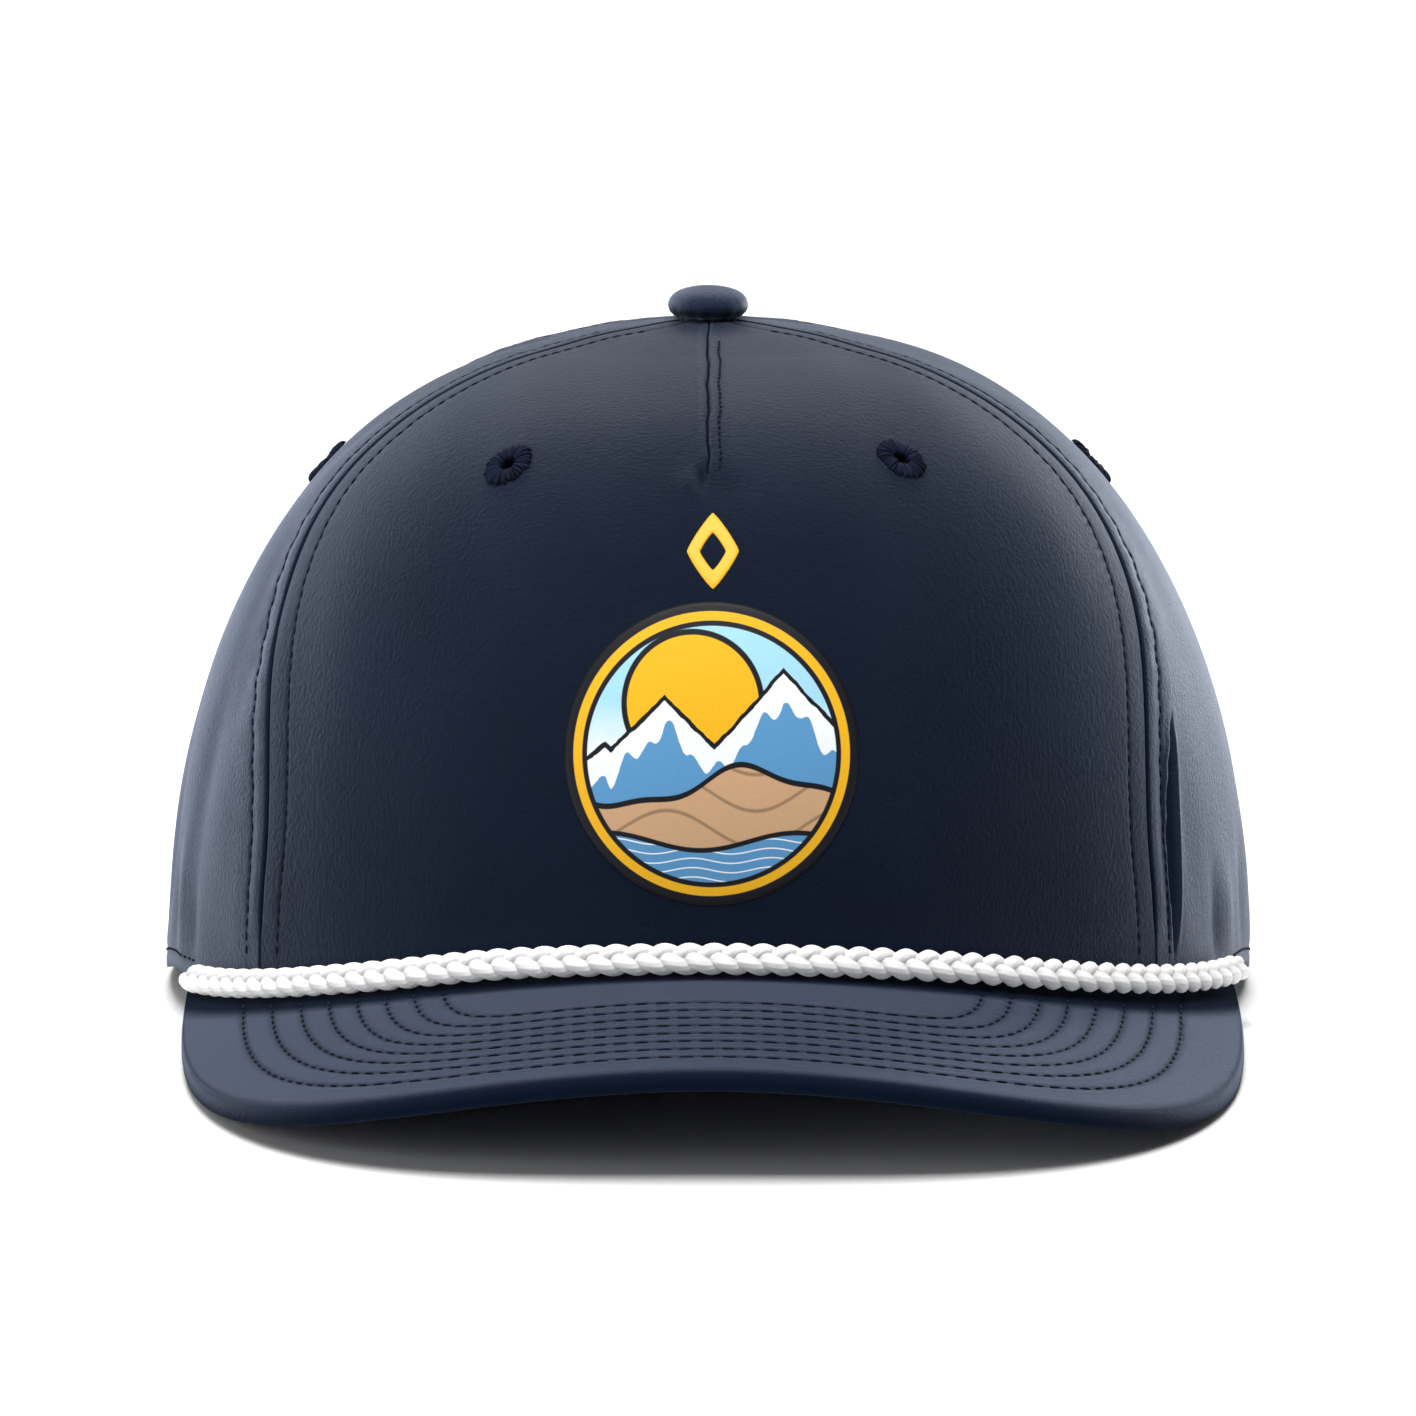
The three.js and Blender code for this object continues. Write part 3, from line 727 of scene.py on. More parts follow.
class Finish:
    """A material that is built up node by node."""

    def __init__(self, name, roughness, specular, sheen=0.0, sheen_roughness=0.5):
        self.material = bpy.data.materials.new(name)
        self.material.use_nodes = True
        self.tree = self.material.node_tree
        self.surface = self.tree.nodes["Principled BSDF"]
        self.give("Roughness", roughness)
        self.give("Specular IOR Level", specular)
        self.give("Sheen Weight", sheen)
        self.give("Sheen Roughness", sheen_roughness)

    def give(self, socket, value):
        self.surface.inputs[socket].default_value = value

    def node(self, kind, settings=None, sockets=None, output=0):
        made = self.tree.nodes.new(kind)
        for name, value in (settings or {}).items():
            setattr(made, name, value)
        for name, value in (sockets or {}).items():
            if isinstance(value, Value):
                self.tree.links.new(value.socket, made.inputs[name])
            else:
                made.inputs[name].default_value = value
        return Value(self, made.outputs[output])

    def feed(self, socket, value):
        self.tree.links.new(value.socket, self.surface.inputs[socket])

    def flat(self):
        """The flat cloth coordinates as a vector, across and up, in millimetres."""
        vector = self.node("ShaderNodeUVMap", {"uv_map": "Cloth"})
        across = self.node("ShaderNodeSeparateXYZ", None, {0: vector}, 0)
        up = self.node("ShaderNodeSeparateXYZ", None, {0: vector}, 1)
        return vector, across, up

    def attribute(self, name):
        return self.node("ShaderNodeAttribute", {"attribute_name": name}, None, 2)

    def noise(self, vector, scale, detail=2.0, roughness=0.5, stretch=(1.0, 1.0, 1.0)):
        spread = self.node("ShaderNodeMapping", None, {"Vector": vector, "Scale": stretch})
        sockets = {"Vector": spread, "Scale": scale, "Detail": detail, "Roughness": roughness}
        return self.node("ShaderNodeTexNoise", None, sockets)

    def mix(self, share, first, second):
        return self.node("ShaderNodeMix", {"data_type": "RGBA"}, {0: share, 6: first, 7: second}, 2)

    def ink(self, name, amount=1.0):
        """A colour of the cap, made darker or paler."""
        red, green, blue = getattr(bpy.context.scene.cap_colours, name)
        return (red * amount, green * amount, blue * amount, 1.0)

    def dressed(self, colour, roughness, height, distance, strength):
        """The material with its colour, its roughness and its relief fed in."""
        self.feed("Base Color", colour)
        self.feed("Roughness", roughness.within())
        sockets = {"Height": height, "Distance": distance, "Strength": strength}
        self.feed("Normal", self.node("ShaderNodeBump", None, sockets))
        return self.material

    def mix_in_painted_shade(self, share, colour):
        """Paints shade: lets the surface give way to a dull dark one, as in a seam that no light reaches.
        """
        dull = self.node("ShaderNodeBsdfDiffuse", None, {"Color": colour})
        surface = Value(self, self.surface.outputs[0])
        mixed = self.node("ShaderNodeMixShader", None, {0: share, 1: surface, 2: dull})
        self.tree.links.new(mixed.socket, self.tree.nodes["Material Output"].inputs["Surface"])


def navy_cloth(name, sheen=0.5, gloss=0.2, tone=1.0, nap=1.0):
    """Fine woven cotton with a soft nap, with painted shade in its seams, its hollows and along its
    stitches.
    """
    finish = Finish(name, 0.6, gloss, sheen, 0.34)
    finish.give("Specular Tint", (0.45, 0.65, 1.0, 1.0))
    finish.give("Sheen Tint", (0.66, 0.77, 1.0, 1.0))
    vector, across, up = finish.flat()
    warp = (across * WEAVE).sine()
    weft = (up * WEAVE).sine()
    slub = finish.noise(vector, 1.6, 3.0, 0.6, (1.0, 0.22, 1.0))
    cross_slub = finish.noise(vector, 1.6, 3.0, 0.6, (0.22, 1.0, 1.0))
    threads = warp * weft * 0.25 + (slub + cross_slub) * 0.5
    cloud = finish.noise(vector, 0.035, 3.0, 0.55)
    fleck = finish.noise(vector, 1.3, 4.0, 0.8)
    shares = (cloud * 0.5 + threads * 0.2 + fleck * 0.8 - 0.28).within()
    base = finish.mix(shares, finish.ink("cloth", 0.35 * tone), finish.ink("cloth", 1.8 * tone))
    # Painted shade from the mesh's shade attribute: the colour darkens and a dull dark shader is mixed in
    painted_shade = finish.attribute("painted_shade")
    colour = finish.mix((painted_shade * 0.85).within(), base, finish.ink("cloth", 0.12))
    finish.mix_in_painted_shade((painted_shade * 0.92).within(), finish.ink("cloth", 0.9))
    roughness = 0.44 + fleck * 0.32 + painted_shade * 0.2
    return finish.dressed(colour, roughness, threads * 0.35 + fleck * 2.8, 0.00014 * nap, 0.9)


def twill_band(name):
    """Plain twill of the inner band, with its slanting lines."""
    finish = Finish(name, 0.85, 0.2, 0.15, 0.5)
    vector, across, up = finish.flat()
    line = ((across + up) * (2 * math.pi / 1.1)).sine() * 0.5 + 0.5
    fleck = finish.noise(vector, 2.2, 3.0, 0.6)
    tone = (line * 0.35 + fleck * 0.6).within()
    colour = finish.mix(tone, finish.ink("band", 0.55), finish.ink("band", 1.5))
    return finish.dressed(colour, 0.75 + fleck * 0.2, line + fleck * 0.4, 0.00012, 0.8)


def sewing_thread(name, light=2.6):
    """Twisted polyester thread; light tells how pale its palest strands are."""
    finish = Finish(name, 0.7, 0.06, 0.02, 0.5)
    _, across, up = finish.flat()
    twist = ((across * 5.0 + up * 9.0) * math.pi).sine() * 0.5 + 0.5
    tone = (finish.attribute("tone") * 0.7 + twist * 0.3).within()
    colour = finish.mix(tone, finish.ink("thread", 0.4), finish.ink("thread", light))
    return finish.dressed(colour, 0.55 + twist * 0.2, twist, 0.00004, 0.6)


def white_cord(name):
    """Soft white yarns laid along each strand of the cord, with painted shade between the strands and a
    faint painted glow.
    """
    finish = Finish(name, 0.8, 0.2, 0.3, 0.5)
    # A faint glow in the cord's own colour: painted light that keeps the white yarn bright
    finish.give("Emission Color", finish.ink("cord"))
    finish.give("Emission Strength", 0.09)
    vector, around, length = finish.flat()
    yarns = ((around * 9.0 + length * 0.55) * (2 * math.pi)).sine() * 0.5 + 0.5
    fuzz = finish.noise(vector, 2.4, 3.0, 0.6, (3.0, 1.0, 1.0))
    outside = finish.mix((yarns * 0.5 + fuzz * 0.6).within(), finish.ink("cord", 0.9), finish.ink("cord"))
    # Painted shade deep between the strands
    colour = finish.mix(finish.attribute("painted_shade"), outside, finish.ink("cord", 0.4))
    return finish.dressed(colour, 0.72 + fuzz * 0.2, yarns + fuzz * 0.6, 0.00006, 0.6)


def moulded_plastic(name):
    finish = Finish(name, 0.45, 0.45)
    vector, _, _ = finish.flat()
    grain = finish.noise(vector, 2.5, 3.0, 0.6)
    patch = finish.noise(vector, 0.08, 2.0, 0.5)
    colour = finish.mix(patch, finish.ink("strap", 0.8), finish.ink("strap", 1.3))
    return finish.dressed(colour, 0.36 + grain * 0.2, grain, 0.00003, 0.5)


def printed(finish, vector, picture, ink, share):
    """Ink on cloth, with the cloth's grain showing through."""
    grain = finish.noise(vector, 2.0, 3.0, 0.6)
    return finish.dressed(finish.mix(grain * share, picture, ink), 0.42 + grain * 0.2, grain, 0.00005, 0.6)


def line_mask(distance, half, soft=0.12):
    """1 on a line of the given half width, and 0 off it, where distance is counted from its middle."""
    return ((half - distance.size()) / soft + 0.5).within()


def below(height, edge, soft=0.12):
    """1 below an edge and 0 above it."""
    return ((edge - height) / soft + 0.5).within()


# The badge's picture, in millimetres from its middle
BADGE_SUN = {"x": -3.0, "z": 8.0, "radius": 11.0}
BADGE_LINE = 0.45
FAR_PEAKS = table(
    "at top slope",
    (-17.0, 1.5, 0.75),
    (-7.5, 9.0, 0.95),
    (3.5, 4.0, 0.8),
    (11.5, 13.0, 1.05),
    (21.0, 3.0, 0.8),
)


def skyline_of(across, peaks):
    """The skyline of straight sided peaks, as the greatest of their heights at a place."""
    first, *others = [peak["top"] - (across - peak["at"]).size() * peak["slope"] for peak in peaks]
    for height in others:
        first = height.most(first)
    return first


def printed_badge(name):
    """A round landscape in flat inks: a low sun behind snowy peaks, with hills and a lake in front."""
    finish = Finish(name, 0.5, 0.2)
    vector, across, up = finish.flat()
    wobble = finish.noise(vector, 0.35, 2.0, 0.5) - 0.5
    inks = {part: finish.ink("badge_" + part) for part in ("ink", "sky", "lake", "sun", "sand")}
    inks["pale"] = (0.86, 0.9, 0.94, 1.0)
    inks["shade"] = finish.ink("badge_sand", 0.45)
    aside, over = across - BADGE_SUN["x"], up - BADGE_SUN["z"]
    from_sun = (aside * aside + over * over) ** 0.5
    skyline = skyline_of(across, FAR_PEAKS) + wobble * 1.2
    jag = ((across * 1.7).sine() + (across * 0.9 + 1.0).sine()) * 0.9
    hills = (across * 0.16 + 0.6).sine() * 3.0 + (across * 0.41).sine() * 0.8 - 5.0
    ridges = line_mask((up * 0.55 + (across * 0.22).sine() * 1.6).sine(), 0.16)
    shore = (across * 0.21 - 1.2).sine() * 1.3 - 13.5
    waves = line_mask((up * 2.1 + (across * 0.5).sine() * 0.9).sine(), 0.22, 0.15)
    edge = (across * across + up * up) ** 0.5 - BADGE["radius"]
    layers = [
        (below(up, 4.0 + wobble * 3.0, 9.0), "pale"),
        (below(from_sun, BADGE_SUN["radius"]), "sun"),
        (line_mask(from_sun - BADGE_SUN["radius"], BADGE_LINE), "ink"),
        (below(up, skyline), "lake"),
        (below(skyline - 4.6 + jag, up) * below(up, skyline), "pale"),
        (line_mask(up - skyline, BADGE_LINE), "ink"),
        (below(up, hills), "sand"),
        (ridges * below(up, hills) * 0.8, "shade"),
        (line_mask(up - hills, BADGE_LINE), "ink"),
        (below(up, shore), "lake"),
        (waves * below(up, shore), "pale"),
        (line_mask(up - shore, 0.4), "ink"),
        (line_mask(edge + 2.2, 0.75), "sun"),
        (below(-1.5, edge), "ink"),
        (line_mask(edge + 3.3, 0.4), "ink"),
    ]
    picture = inks["sky"]
    for share, ink in layers:
        picture = finish.mix(share, picture, inks[ink])
    return printed(finish, vector, picture, inks["ink"], 0.16)


def printed_lozenge(name):
    finish = Finish(name, 0.5, 0.35, 0.1, 0.4)
    vector, _, _ = finish.flat()
    return printed(finish, vector, finish.ink("badge_sun"), finish.ink("badge_sun", 0.5), 0.25)


def pale_floor(name):
    finish = Finish(name, 0.6, 0.3)
    place = finish.node("ShaderNodeTexCoord", None, None, 3)
    grain = finish.noise(place, 1.5, 2.0, 0.5)
    finish.feed("Base Color", finish.mix(grain, (0.92, 0.92, 0.92, 1.0), (0.96, 0.96, 0.96, 1.0)))
    finish.feed("Roughness", (0.55 + grain * 0.1).within())
    return finish.material


# Sizes and colours that a user may change


def length_property(name, description, default):
    return bpy.props.FloatProperty(name=name, description=description, default=default, unit="LENGTH")


def count_property(name, description, default, least, most):
    return bpy.props.IntProperty(
        name=name, description=description, default=default, min=least, max=most
    )


def colour_property(name, description, default):
    return bpy.props.FloatVectorProperty(
        name=name, description=description, subtype="COLOR", size=3, min=0, max=1, default=default
    )


class CapThread(bpy.types.PropertyGroup):
    pitch: length_property("Pitch", "From one stitch to the next", 0.0033)
    length: length_property("Length", "Visible length of a stitch", 0.0022)
    width: length_property("Width", "Thickness of the thread", 0.0005)


class CapCloth(bpy.types.PropertyGroup):
    panel_wall: length_property("Panel thickness", "Thickness of the crown's cloth", 0.0013)
    band_wall: length_property("Band thickness", "Thickness of the inner band", 0.0011)
    groove: length_property("Visor groove", "Depth of the visor's stitched grooves", 0.00012)
    rows: count_property("Visor rows", "Rows of stitches on the visor", 8, 1, 9)


class CapCord(bpy.types.PropertyGroup):
    strand: length_property("Strand", "Radius of one strand", 0.00132)
    lay: length_property("Lay", "Length in which a strand crosses over and back", 0.0118)
    sway: length_property("Sway", "How far a strand swings to each side", 0.00128)
    rise: length_property("Rise", "How far a strand rises where it crosses", 0.0007)


class CapEyelet(bpy.types.PropertyGroup):
    threads: count_property("Threads", "Threads round one eyelet", 46, 12, 80)
    bore: length_property("Hole", "Radius of the open hole", 0.0013)
    reach: length_property("Reach", "Outer radius of the threads", 0.004)


class CapColours(bpy.types.PropertyGroup):
    cloth: colour_property("Cloth", "Crown, visor and button", (0.0034, 0.0064, 0.0165))
    thread: colour_property("Thread", "Stitches and eyelets", (0.0022, 0.0038, 0.0105))
    band: colour_property("Band", "Inner band", (0.006, 0.0095, 0.022))
    strap: colour_property("Strap", "Strap over the back arch", (0.005, 0.008, 0.019))
    cord: colour_property("Cord", "Cord between visor and crown", (0.96, 0.96, 0.955))
    badge_ink: colour_property("Outline ink", "Outlines of the printed badge", (0.006, 0.006, 0.009))
    badge_sun: colour_property("Yellow ink", "Sun and ring of the badge", (0.85, 0.45, 0.012))
    badge_sky: colour_property("Sky ink", "Sky of the badge", (0.36, 0.66, 0.83))
    badge_lake: colour_property("Blue ink", "Peaks and lake of the badge", (0.1, 0.3, 0.55))
    badge_sand: colour_property("Sand ink", "Hills of the badge", (0.58, 0.36, 0.2))


class CapStudio(bpy.types.PropertyGroup):
    elevation: bpy.props.FloatProperty(
        name="Elevation",
        description="Camera's height above the level",
        default=math.radians(10.01),
        subtype="ANGLE",
    )
    distance: length_property("Distance", "Camera to the middle of the cap", 1.5)
    lens: bpy.props.FloatProperty(
        name="Lens", description="Focal length", default=223.8, subtype="DISTANCE_CAMERA"
    )
    aim: bpy.props.FloatVectorProperty(
        name="Aim",
        description="Point that the camera looks at",
        default=(0, 0.031175, 0.04695),
        subtype="XYZ",
    )
    world: bpy.props.FloatProperty(
        name="Room light", description="Strength of the even white room light", default=0.04
    )


# The operators that make the pieces


def strip_angles(start, end, alongs, kinds, between):
    """Angles of the columns between two lines of a panel, for every row."""
    half = (end - start) / 2 * round_scale((start + end) / 2, alongs)
    shrink = np.minimum(1, half / COLUMN_HALF)[:, None]
    if "dart" not in kinds:
        shrink = shrink * seam_room(np.full_like(alongs, FULL_HALF), alongs)[:, None]
    from_start, from_end = (np.linspace(*EDGE_COLUMNS[kind].values())[None] for kind in kinds)
    near = start[:, None] + from_start * shrink / round_scale(start, alongs)[:, None]
    far = end[:, None] - from_end * shrink / round_scale(end, alongs)[:, None]
    share = (np.arange(between) + 1)[None] / (between + 1)
    middle = near[:, -1:] + (far[:, -1:] - near[:, -1:]) * share
    return np.concatenate([near, middle, far[:, ::-1]], axis=1)


def panel_angles(panel, alongs):
    spec = PANELS[panel]
    start, end = SEAMS[spec["from"]], SEAMS[spec["to"]]
    first, last = start["angle"](alongs), end["angle"](alongs)
    kinds = (start["after"], end["before"])
    if panel != "front_panel":
        return strip_angles(first, last, alongs, kinds, spec["between"])
    middle = np.zeros_like(alongs)
    left = strip_angles(first, middle, alongs, (kinds[0], "dart"), spec["between"])
    right = strip_angles(middle, last, alongs, ("dart", kinds[1]), spec["between"])
    return np.concatenate([left, right[:, 1:]], axis=1)


def in_back_arch(points, margin):
    """Whether points lie in the arch over the strap, made wider by a margin."""
    x, z = np.abs(points[:, 0]), points[:, 2]
    above = np.hypot(x, z - ARCH["straight"]) < ARCH["half_width"] + margin
    beside = (z < ARCH["straight"]) & (x < ARCH["half_width"] + margin)
    return (points[:, 1] > 0) & ((above & (z >= ARCH["straight"])) | beside)


def cut_faces(mesh, wanted):
    """Cuts out the faces whose middle is inside an opening; wanted tells it for points."""
    form = form_of(mesh)
    middles = np.array([face.calc_center_median() for face in form.faces]) / MM - CROWN_MIDDLE
    gone = [face for face, hit in zip(form.faces, wanted(middles)) if hit]
    bmesh.ops.delete(form, geom=gone, context="FACES")
    return written(form, mesh)


def panel_mesh(panel):
    alongs, travelled = row_heights(PANEL_ROWS)
    angles = panel_angles(panel, alongs)
    middle = angles.mean(axis=1)

    def place(column, row):
        angle, along = angles[row, column], alongs[row]
        flat = np.stack([(angle - middle[row]) * round_scale(angle, along), travelled[row]], -1)
        return cloth_point(panel, angle, along), flat, panel_painted_shade(panel, angle, along)

    holes = [spot for spot in EYELETS.values() if spot["panel"] == panel]
    centres = [dome(spot["angle"], spot["along"]) for spot in holes]

    def opened(points):
        hit = in_back_arch(points, ARCH["clear"]) & panel.startswith("back")
        for centre in centres:
            hit = hit | (np.linalg.norm(points - centre, axis=1) < EYELET_CLEAR)
        return hit

    return cut_faces(mapped_grid(panel + "_cloth", angles.shape[1], PANEL_ROWS, place), opened)


class CAP_OT_panels(bpy.types.Operator):
    """Sew the five panels of the crown, with their seams, dart, hem and soft folds"""

    bl_idname = "cap.panels"
    bl_label = "Crown panels"

    def execute(self, context):
        firm = navy_cloth("navy_front_cloth", 0.4, 0.1)
        limp = navy_cloth("navy_crown_cloth", 0.6, 0.3)
        for panel in PANELS:
            finish = firm if panel == "front_panel" else limp
            piece = add_piece(panel + "_cloth", panel_mesh(panel), finish, [panel])
            add_wall(piece, context.scene.cap_cloth.panel_wall)
        return {"FINISHED"}


def solve_angle(wanted_x, wanted_z, low, high, hem):
    """Angle and along of the dome's point with this x and z, found by halving between two angles."""
    side = np.where(wanted_x < 0, -1.0, 1.0)
    near, far = np.full(len(wanted_x), float(low)), np.full(len(wanted_x), float(high))
    for _ in range(40):
        angle = (near + far) / 2
        along = along_at_height(angle * side, wanted_z, hem)
        reach = np.abs(dome(angle * side, along)[:, 0])
        wider = reach < np.abs(wanted_x)
        if high < 90:
            near, far = np.where(wider, angle, near), np.where(wider, far, angle)
        else:
            near, far = np.where(wider, near, angle), np.where(wider, angle, far)
    return angle * side, along


def along_at_height(angle, height, hem):
    base = hem_height(angle) if hem else 0
    lift = np.clip((height - base) / (APEX["z"] - base), 0, 1)
    _, up_power = dome_powers(angle)
    return 2 / np.pi * np.arcsin(lift ** (up_power / 2))


def arch_edge(share, off):
    """A point of the arch's edge, moved outwards by off; share runs over the arch from -X to +X."""
    straight, radius = ARCH["straight"], ARCH["half_width"]
    total = 2 * straight + math.pi * radius
    travelled = share * total
    turn = np.clip((travelled - straight) / radius, 0, math.pi)
    from_floor = np.minimum(travelled, total - travelled)
    x = -(radius + off) * np.cos(turn)
    z = np.where(from_floor < straight, from_floor, straight + (radius + off) * np.sin(turn))
    return x, z


def back_surface(x, z, lift):
    """A point of the back panels' cloth over a place seen from behind, lifted along its normal."""
    angle, along = solve_angle(x, z, 90, 180, False)
    right = cloth_point("back_panel_right", np.abs(angle), along)
    left = cloth_point("back_panel_left", -np.abs(angle), along)
    point = np.where((x > 0)[:, None], right, left)
    normal = dome_normal(angle, along)
    return point + normal * np.asarray(lift)[..., None], normal


# Section of the binding: how far it lies outside the arch's edge, and over the cloth
ARCH_BINDING = table(
    "off lift",
    (6.0, -0.3),
    (6.0, 0.22),
    (5.4, 0.42),
    (4.6, 0.3),
    (3.2, 0.5),
    (2.0, 0.46),
    (1.2, 0.3),
    (0.5, 0.42),
    (0.0, 0.1),
    (-0.25, -0.6),
    (0.0, -1.4),
    (0.6, -1.8),
    (3.0, -1.95),
    (5.4, -1.85),
    (6.0, -1.6),
    (6.0, -0.3),
)


class CAP_OT_arch(bpy.types.Operator):
    """Bind the edge of the arch at the back with a folded, twice stitched strip"""

    bl_idname = "cap.arch"
    bl_label = "Back arch binding"

    def execute(self, context):
        offs = np.array([step["off"] for step in ARCH_BINDING])
        lifts = np.array([step["lift"] for step in ARCH_BINDING])
        columns = 150

        def place(column, row):
            share = column / (columns - 1)
            x, z = arch_edge(share, offs[row])
            gather = 0.07 * np.sin(column * 1.9 + np.sin(column * 0.37)) * (lifts[row] > 0)
            point, _ = back_surface(x, z, lifts[row] + gather)
            point[:, 2] = np.maximum(point[:, 2], OVER_FLOOR)
            return point, np.stack([share * 130, row * 1.2], -1)

        mesh = closed_up(mapped_grid("back_arch_binding", columns, len(ARCH_BINDING), place))
        add_piece("back_arch_binding", mesh, navy_cloth("navy_binding_cloth"))
        return {"FINISHED"}


def visor_ray(share):
    """Where the visor's plan starts under the crown's wall, and where it ends at its edge."""
    angle = VISOR["end_angle"] * share
    x, y = rim_point(angle)
    inward = dome_normal(angle, np.full_like(angle, 0.001))
    inward = unit(inward[:, :2]) * -WALL
    turn = np.pi / 2 * share
    power = 2 / VISOR["power"]
    forward = np.clip(np.cos(turn), 0, 1) ** power
    end_x = np.sign(share) * VISOR["half_width"] * np.abs(np.sin(turn)) ** power
    end_x = end_x + VISOR["aside"] + VISOR["skew"] * forward
    end_y = VISOR["start_y"] - VISOR["reach"] * forward
    return np.stack([x + inward[:, 0], y + inward[:, 1]], -1), np.stack([end_x, end_y], -1)


def visor_shares(count):
    """Shares of the visor's width whose rays reach its edge at even distances."""
    fine = np.linspace(-1, 1, 3001)
    _, end = visor_ray(fine)
    travelled = path_lengths(end)
    return np.interp(np.linspace(0, travelled[-1], count), travelled, fine)


def row_power(number):
    """How square the corners of a stitched row are, which grows towards the crown."""
    return VISOR_ROWS["power"] + VISOR_ROWS["power_gain"] * number**2


def visor_row_number(x, y):
    """Which stitched row a place of the visor lies on, with parts of rows between them."""
    across, ahead = np.abs(x - VISOR["aside"]), np.maximum(VISOR["start_y"] - y, 0)
    low, high = np.full(x.shape, -3.0), np.full(x.shape, 14.0)
    for _ in range(26):
        middle = (low + high) / 2
        half = VISOR_ROWS["half_width"] - VISOR_ROWS["width_step"] * middle
        reach = VISOR_ROWS["reach"] - VISOR_ROWS["reach_step"] * middle
        power = row_power(np.maximum(middle, 0))
        outside = (across / half) ** power + (ahead / reach) ** power > 1
        low, high = np.where(outside, low, middle), np.where(outside, middle, high)
    return middle


def visor_rise(x, y, groove, rows):
    """Grooves where the stitched rows draw the cloth down, and the soft swell between them."""
    number = visor_row_number(x, y)
    nearest = np.clip(np.rint(number), 0, rows - 1)
    off = (number - nearest) * VISOR_ROWS["reach_step"]
    between = np.clip(np.abs(off) / VISOR_ROWS["half_step"], 0, 1)
    swell = VISOR_ROWS["swell"] * groove * np.sin(np.pi * between) ** 2
    return -groove * bump(off, 0, VISOR_ROWS["groove_wide"]) + swell


# Painted shade on the visor: in its rows, a painted shadow under the cord, which widens sideways, and at
# its edge
VISOR_PAINTED_SHADE = {"row": 0.35, "left": 0.022, "right": 0.018, "cord": 4.6, "beyond": 6.8, "widens": 2.6}
# Painted shade near the visor's edge, down its rounded rim and under it
VISOR_EDGE_PAINTED_SHADE = {"top": 0.5, "from": -0.6, "to": 2.6, "rim": 0.75, "rim_turn": 0.25, "under": 0.5}


def visor_painted_shade(x, y, to_edge, rows):
    dark, edge = VISOR_PAINTED_SHADE, VISOR_EDGE_PAINTED_SHADE
    stitched = np.clip(-visor_rise(x, y, dark["row"], rows), 0, 1)
    beside = np.abs(x) * np.where(x < 0, dark["left"], dark["right"])
    shade_end = dark["beyond"] + dark["widens"] * beside
    # A painted shadow of the cord on the visor
    painted_cord_shadow = 1 - smoothstep(beyond_rim(x, y), dark["cord"] + beside, shade_end)
    painted_edge_shade = edge["top"] * (1 - smoothstep(to_edge, edge["from"], edge["to"]))
    return np.maximum(np.maximum(stitched, painted_cord_shadow), painted_edge_shade)


# Points of the visor's section: over its top, round its rim, back under it and at its start again
VISOR_SECTION = {"top": 132, "rim": 9, "low": 60, "last": 1}


def visor_mesh(groove, rows):
    shares = visor_shares(250)
    start, end = visor_ray(shares)
    lengths = np.linalg.norm(end - start, axis=1)
    thickness = VISOR["thickness"]
    top, rim, low, last = VISOR_SECTION.values()
    part = np.repeat(np.arange(4), (top, rim, low, last))
    forward = np.concatenate([np.linspace(0, 1, top), np.ones(rim), np.linspace(1, 0, low), np.zeros(last)])
    turn = np.zeros(len(part))
    turn[part == 1] = np.radians(np.linspace(70, -70, rim))

    def place(column, row):
        turning, under = part[row] == 1, part[row] == 2
        edge = np.minimum(VISOR["edge_radius"], 0.45 * lengths[column])
        inner = lengths[column] - edge
        reach = inner * forward[row] + np.where(turning, edge * np.cos(turn[row]), 0)
        heading = (end[column] - start[column]) / lengths[column][:, None]
        x, y = (start[column] + heading * reach[:, None]).T
        top = visor_top(x, y)
        rise = visor_rise(x, y, groove, rows)
        height = np.where(under, top - thickness - rise, top + rise)
        rim = top - thickness / 2 + thickness / 2 * np.sin(turn[row])
        z = np.maximum(np.where(turning, rim, height), OVER_FLOOR)
        flat = np.stack([x, y + turn[row] * 1.6 * turning], -1)
        # Painted shade: the visor's top from its rows, the cord and its edge, its rim darker towards the
        # bottom, and its underside
        painted_shade_share = visor_painted_shade(x, y, inner * (1 - forward[row]), rows)
        rim_painted_shade = VISOR_EDGE_PAINTED_SHADE["rim"] - VISOR_EDGE_PAINTED_SHADE["rim_turn"] * np.sin(turn[row])
        top_painted_shade = np.where(under, VISOR_EDGE_PAINTED_SHADE["under"], painted_shade_share)
        return np.stack([x, y, z], -1), flat, np.where(turning, rim_painted_shade, top_painted_shade)

    return closed_up(mapped_grid("visor_cloth", len(shares), len(part), place), 0.00002)


class CAP_OT_visor(bpy.types.Operator):
    """Shape the curved visor with a rounded edge and a groove for each stitched row"""

    bl_idname = "cap.visor"
    bl_label = "Visor"

    def execute(self, context):
        cloth = context.scene.cap_cloth
        mesh = visor_mesh(cloth.groove / MM, cloth.rows)
        # Its base colour is twice as pale as the crown's cloth: painted sheen for the grazing light on the
        # visor
        finish = navy_cloth("navy_visor_cloth", 0.72, 0.05, 2.0, 0.5)
        add_piece("visor_cloth", mesh, finish, ["visor"])
        return {"FINISHED"}


# The cord's route over the visor, and where it lies a little higher or lower than the visor's form asks
ROPE = {
    "start_angle": -63.2,
    "end_angle": 66.8,
    "clear": 2.8,
    "samples": 600,
    "rows": 520,
    "sides": 13,
    # lit and deep: the cord's painted shade ends this far from its middle line, and fades in over this
    # width
    "lit": 2.3,
    "deep": 1.1,
    "right_rise": 0.45,
    "right_from": 6,
    "right_to": 30,
}
ROPE_LIES = table(FORM, (-20, 9, 0.4), (-60, 16, -0.5))
ROPE_END = {"round": 2.2, "slim": 0.06, "slim_from": 2, "slim_to": 75}


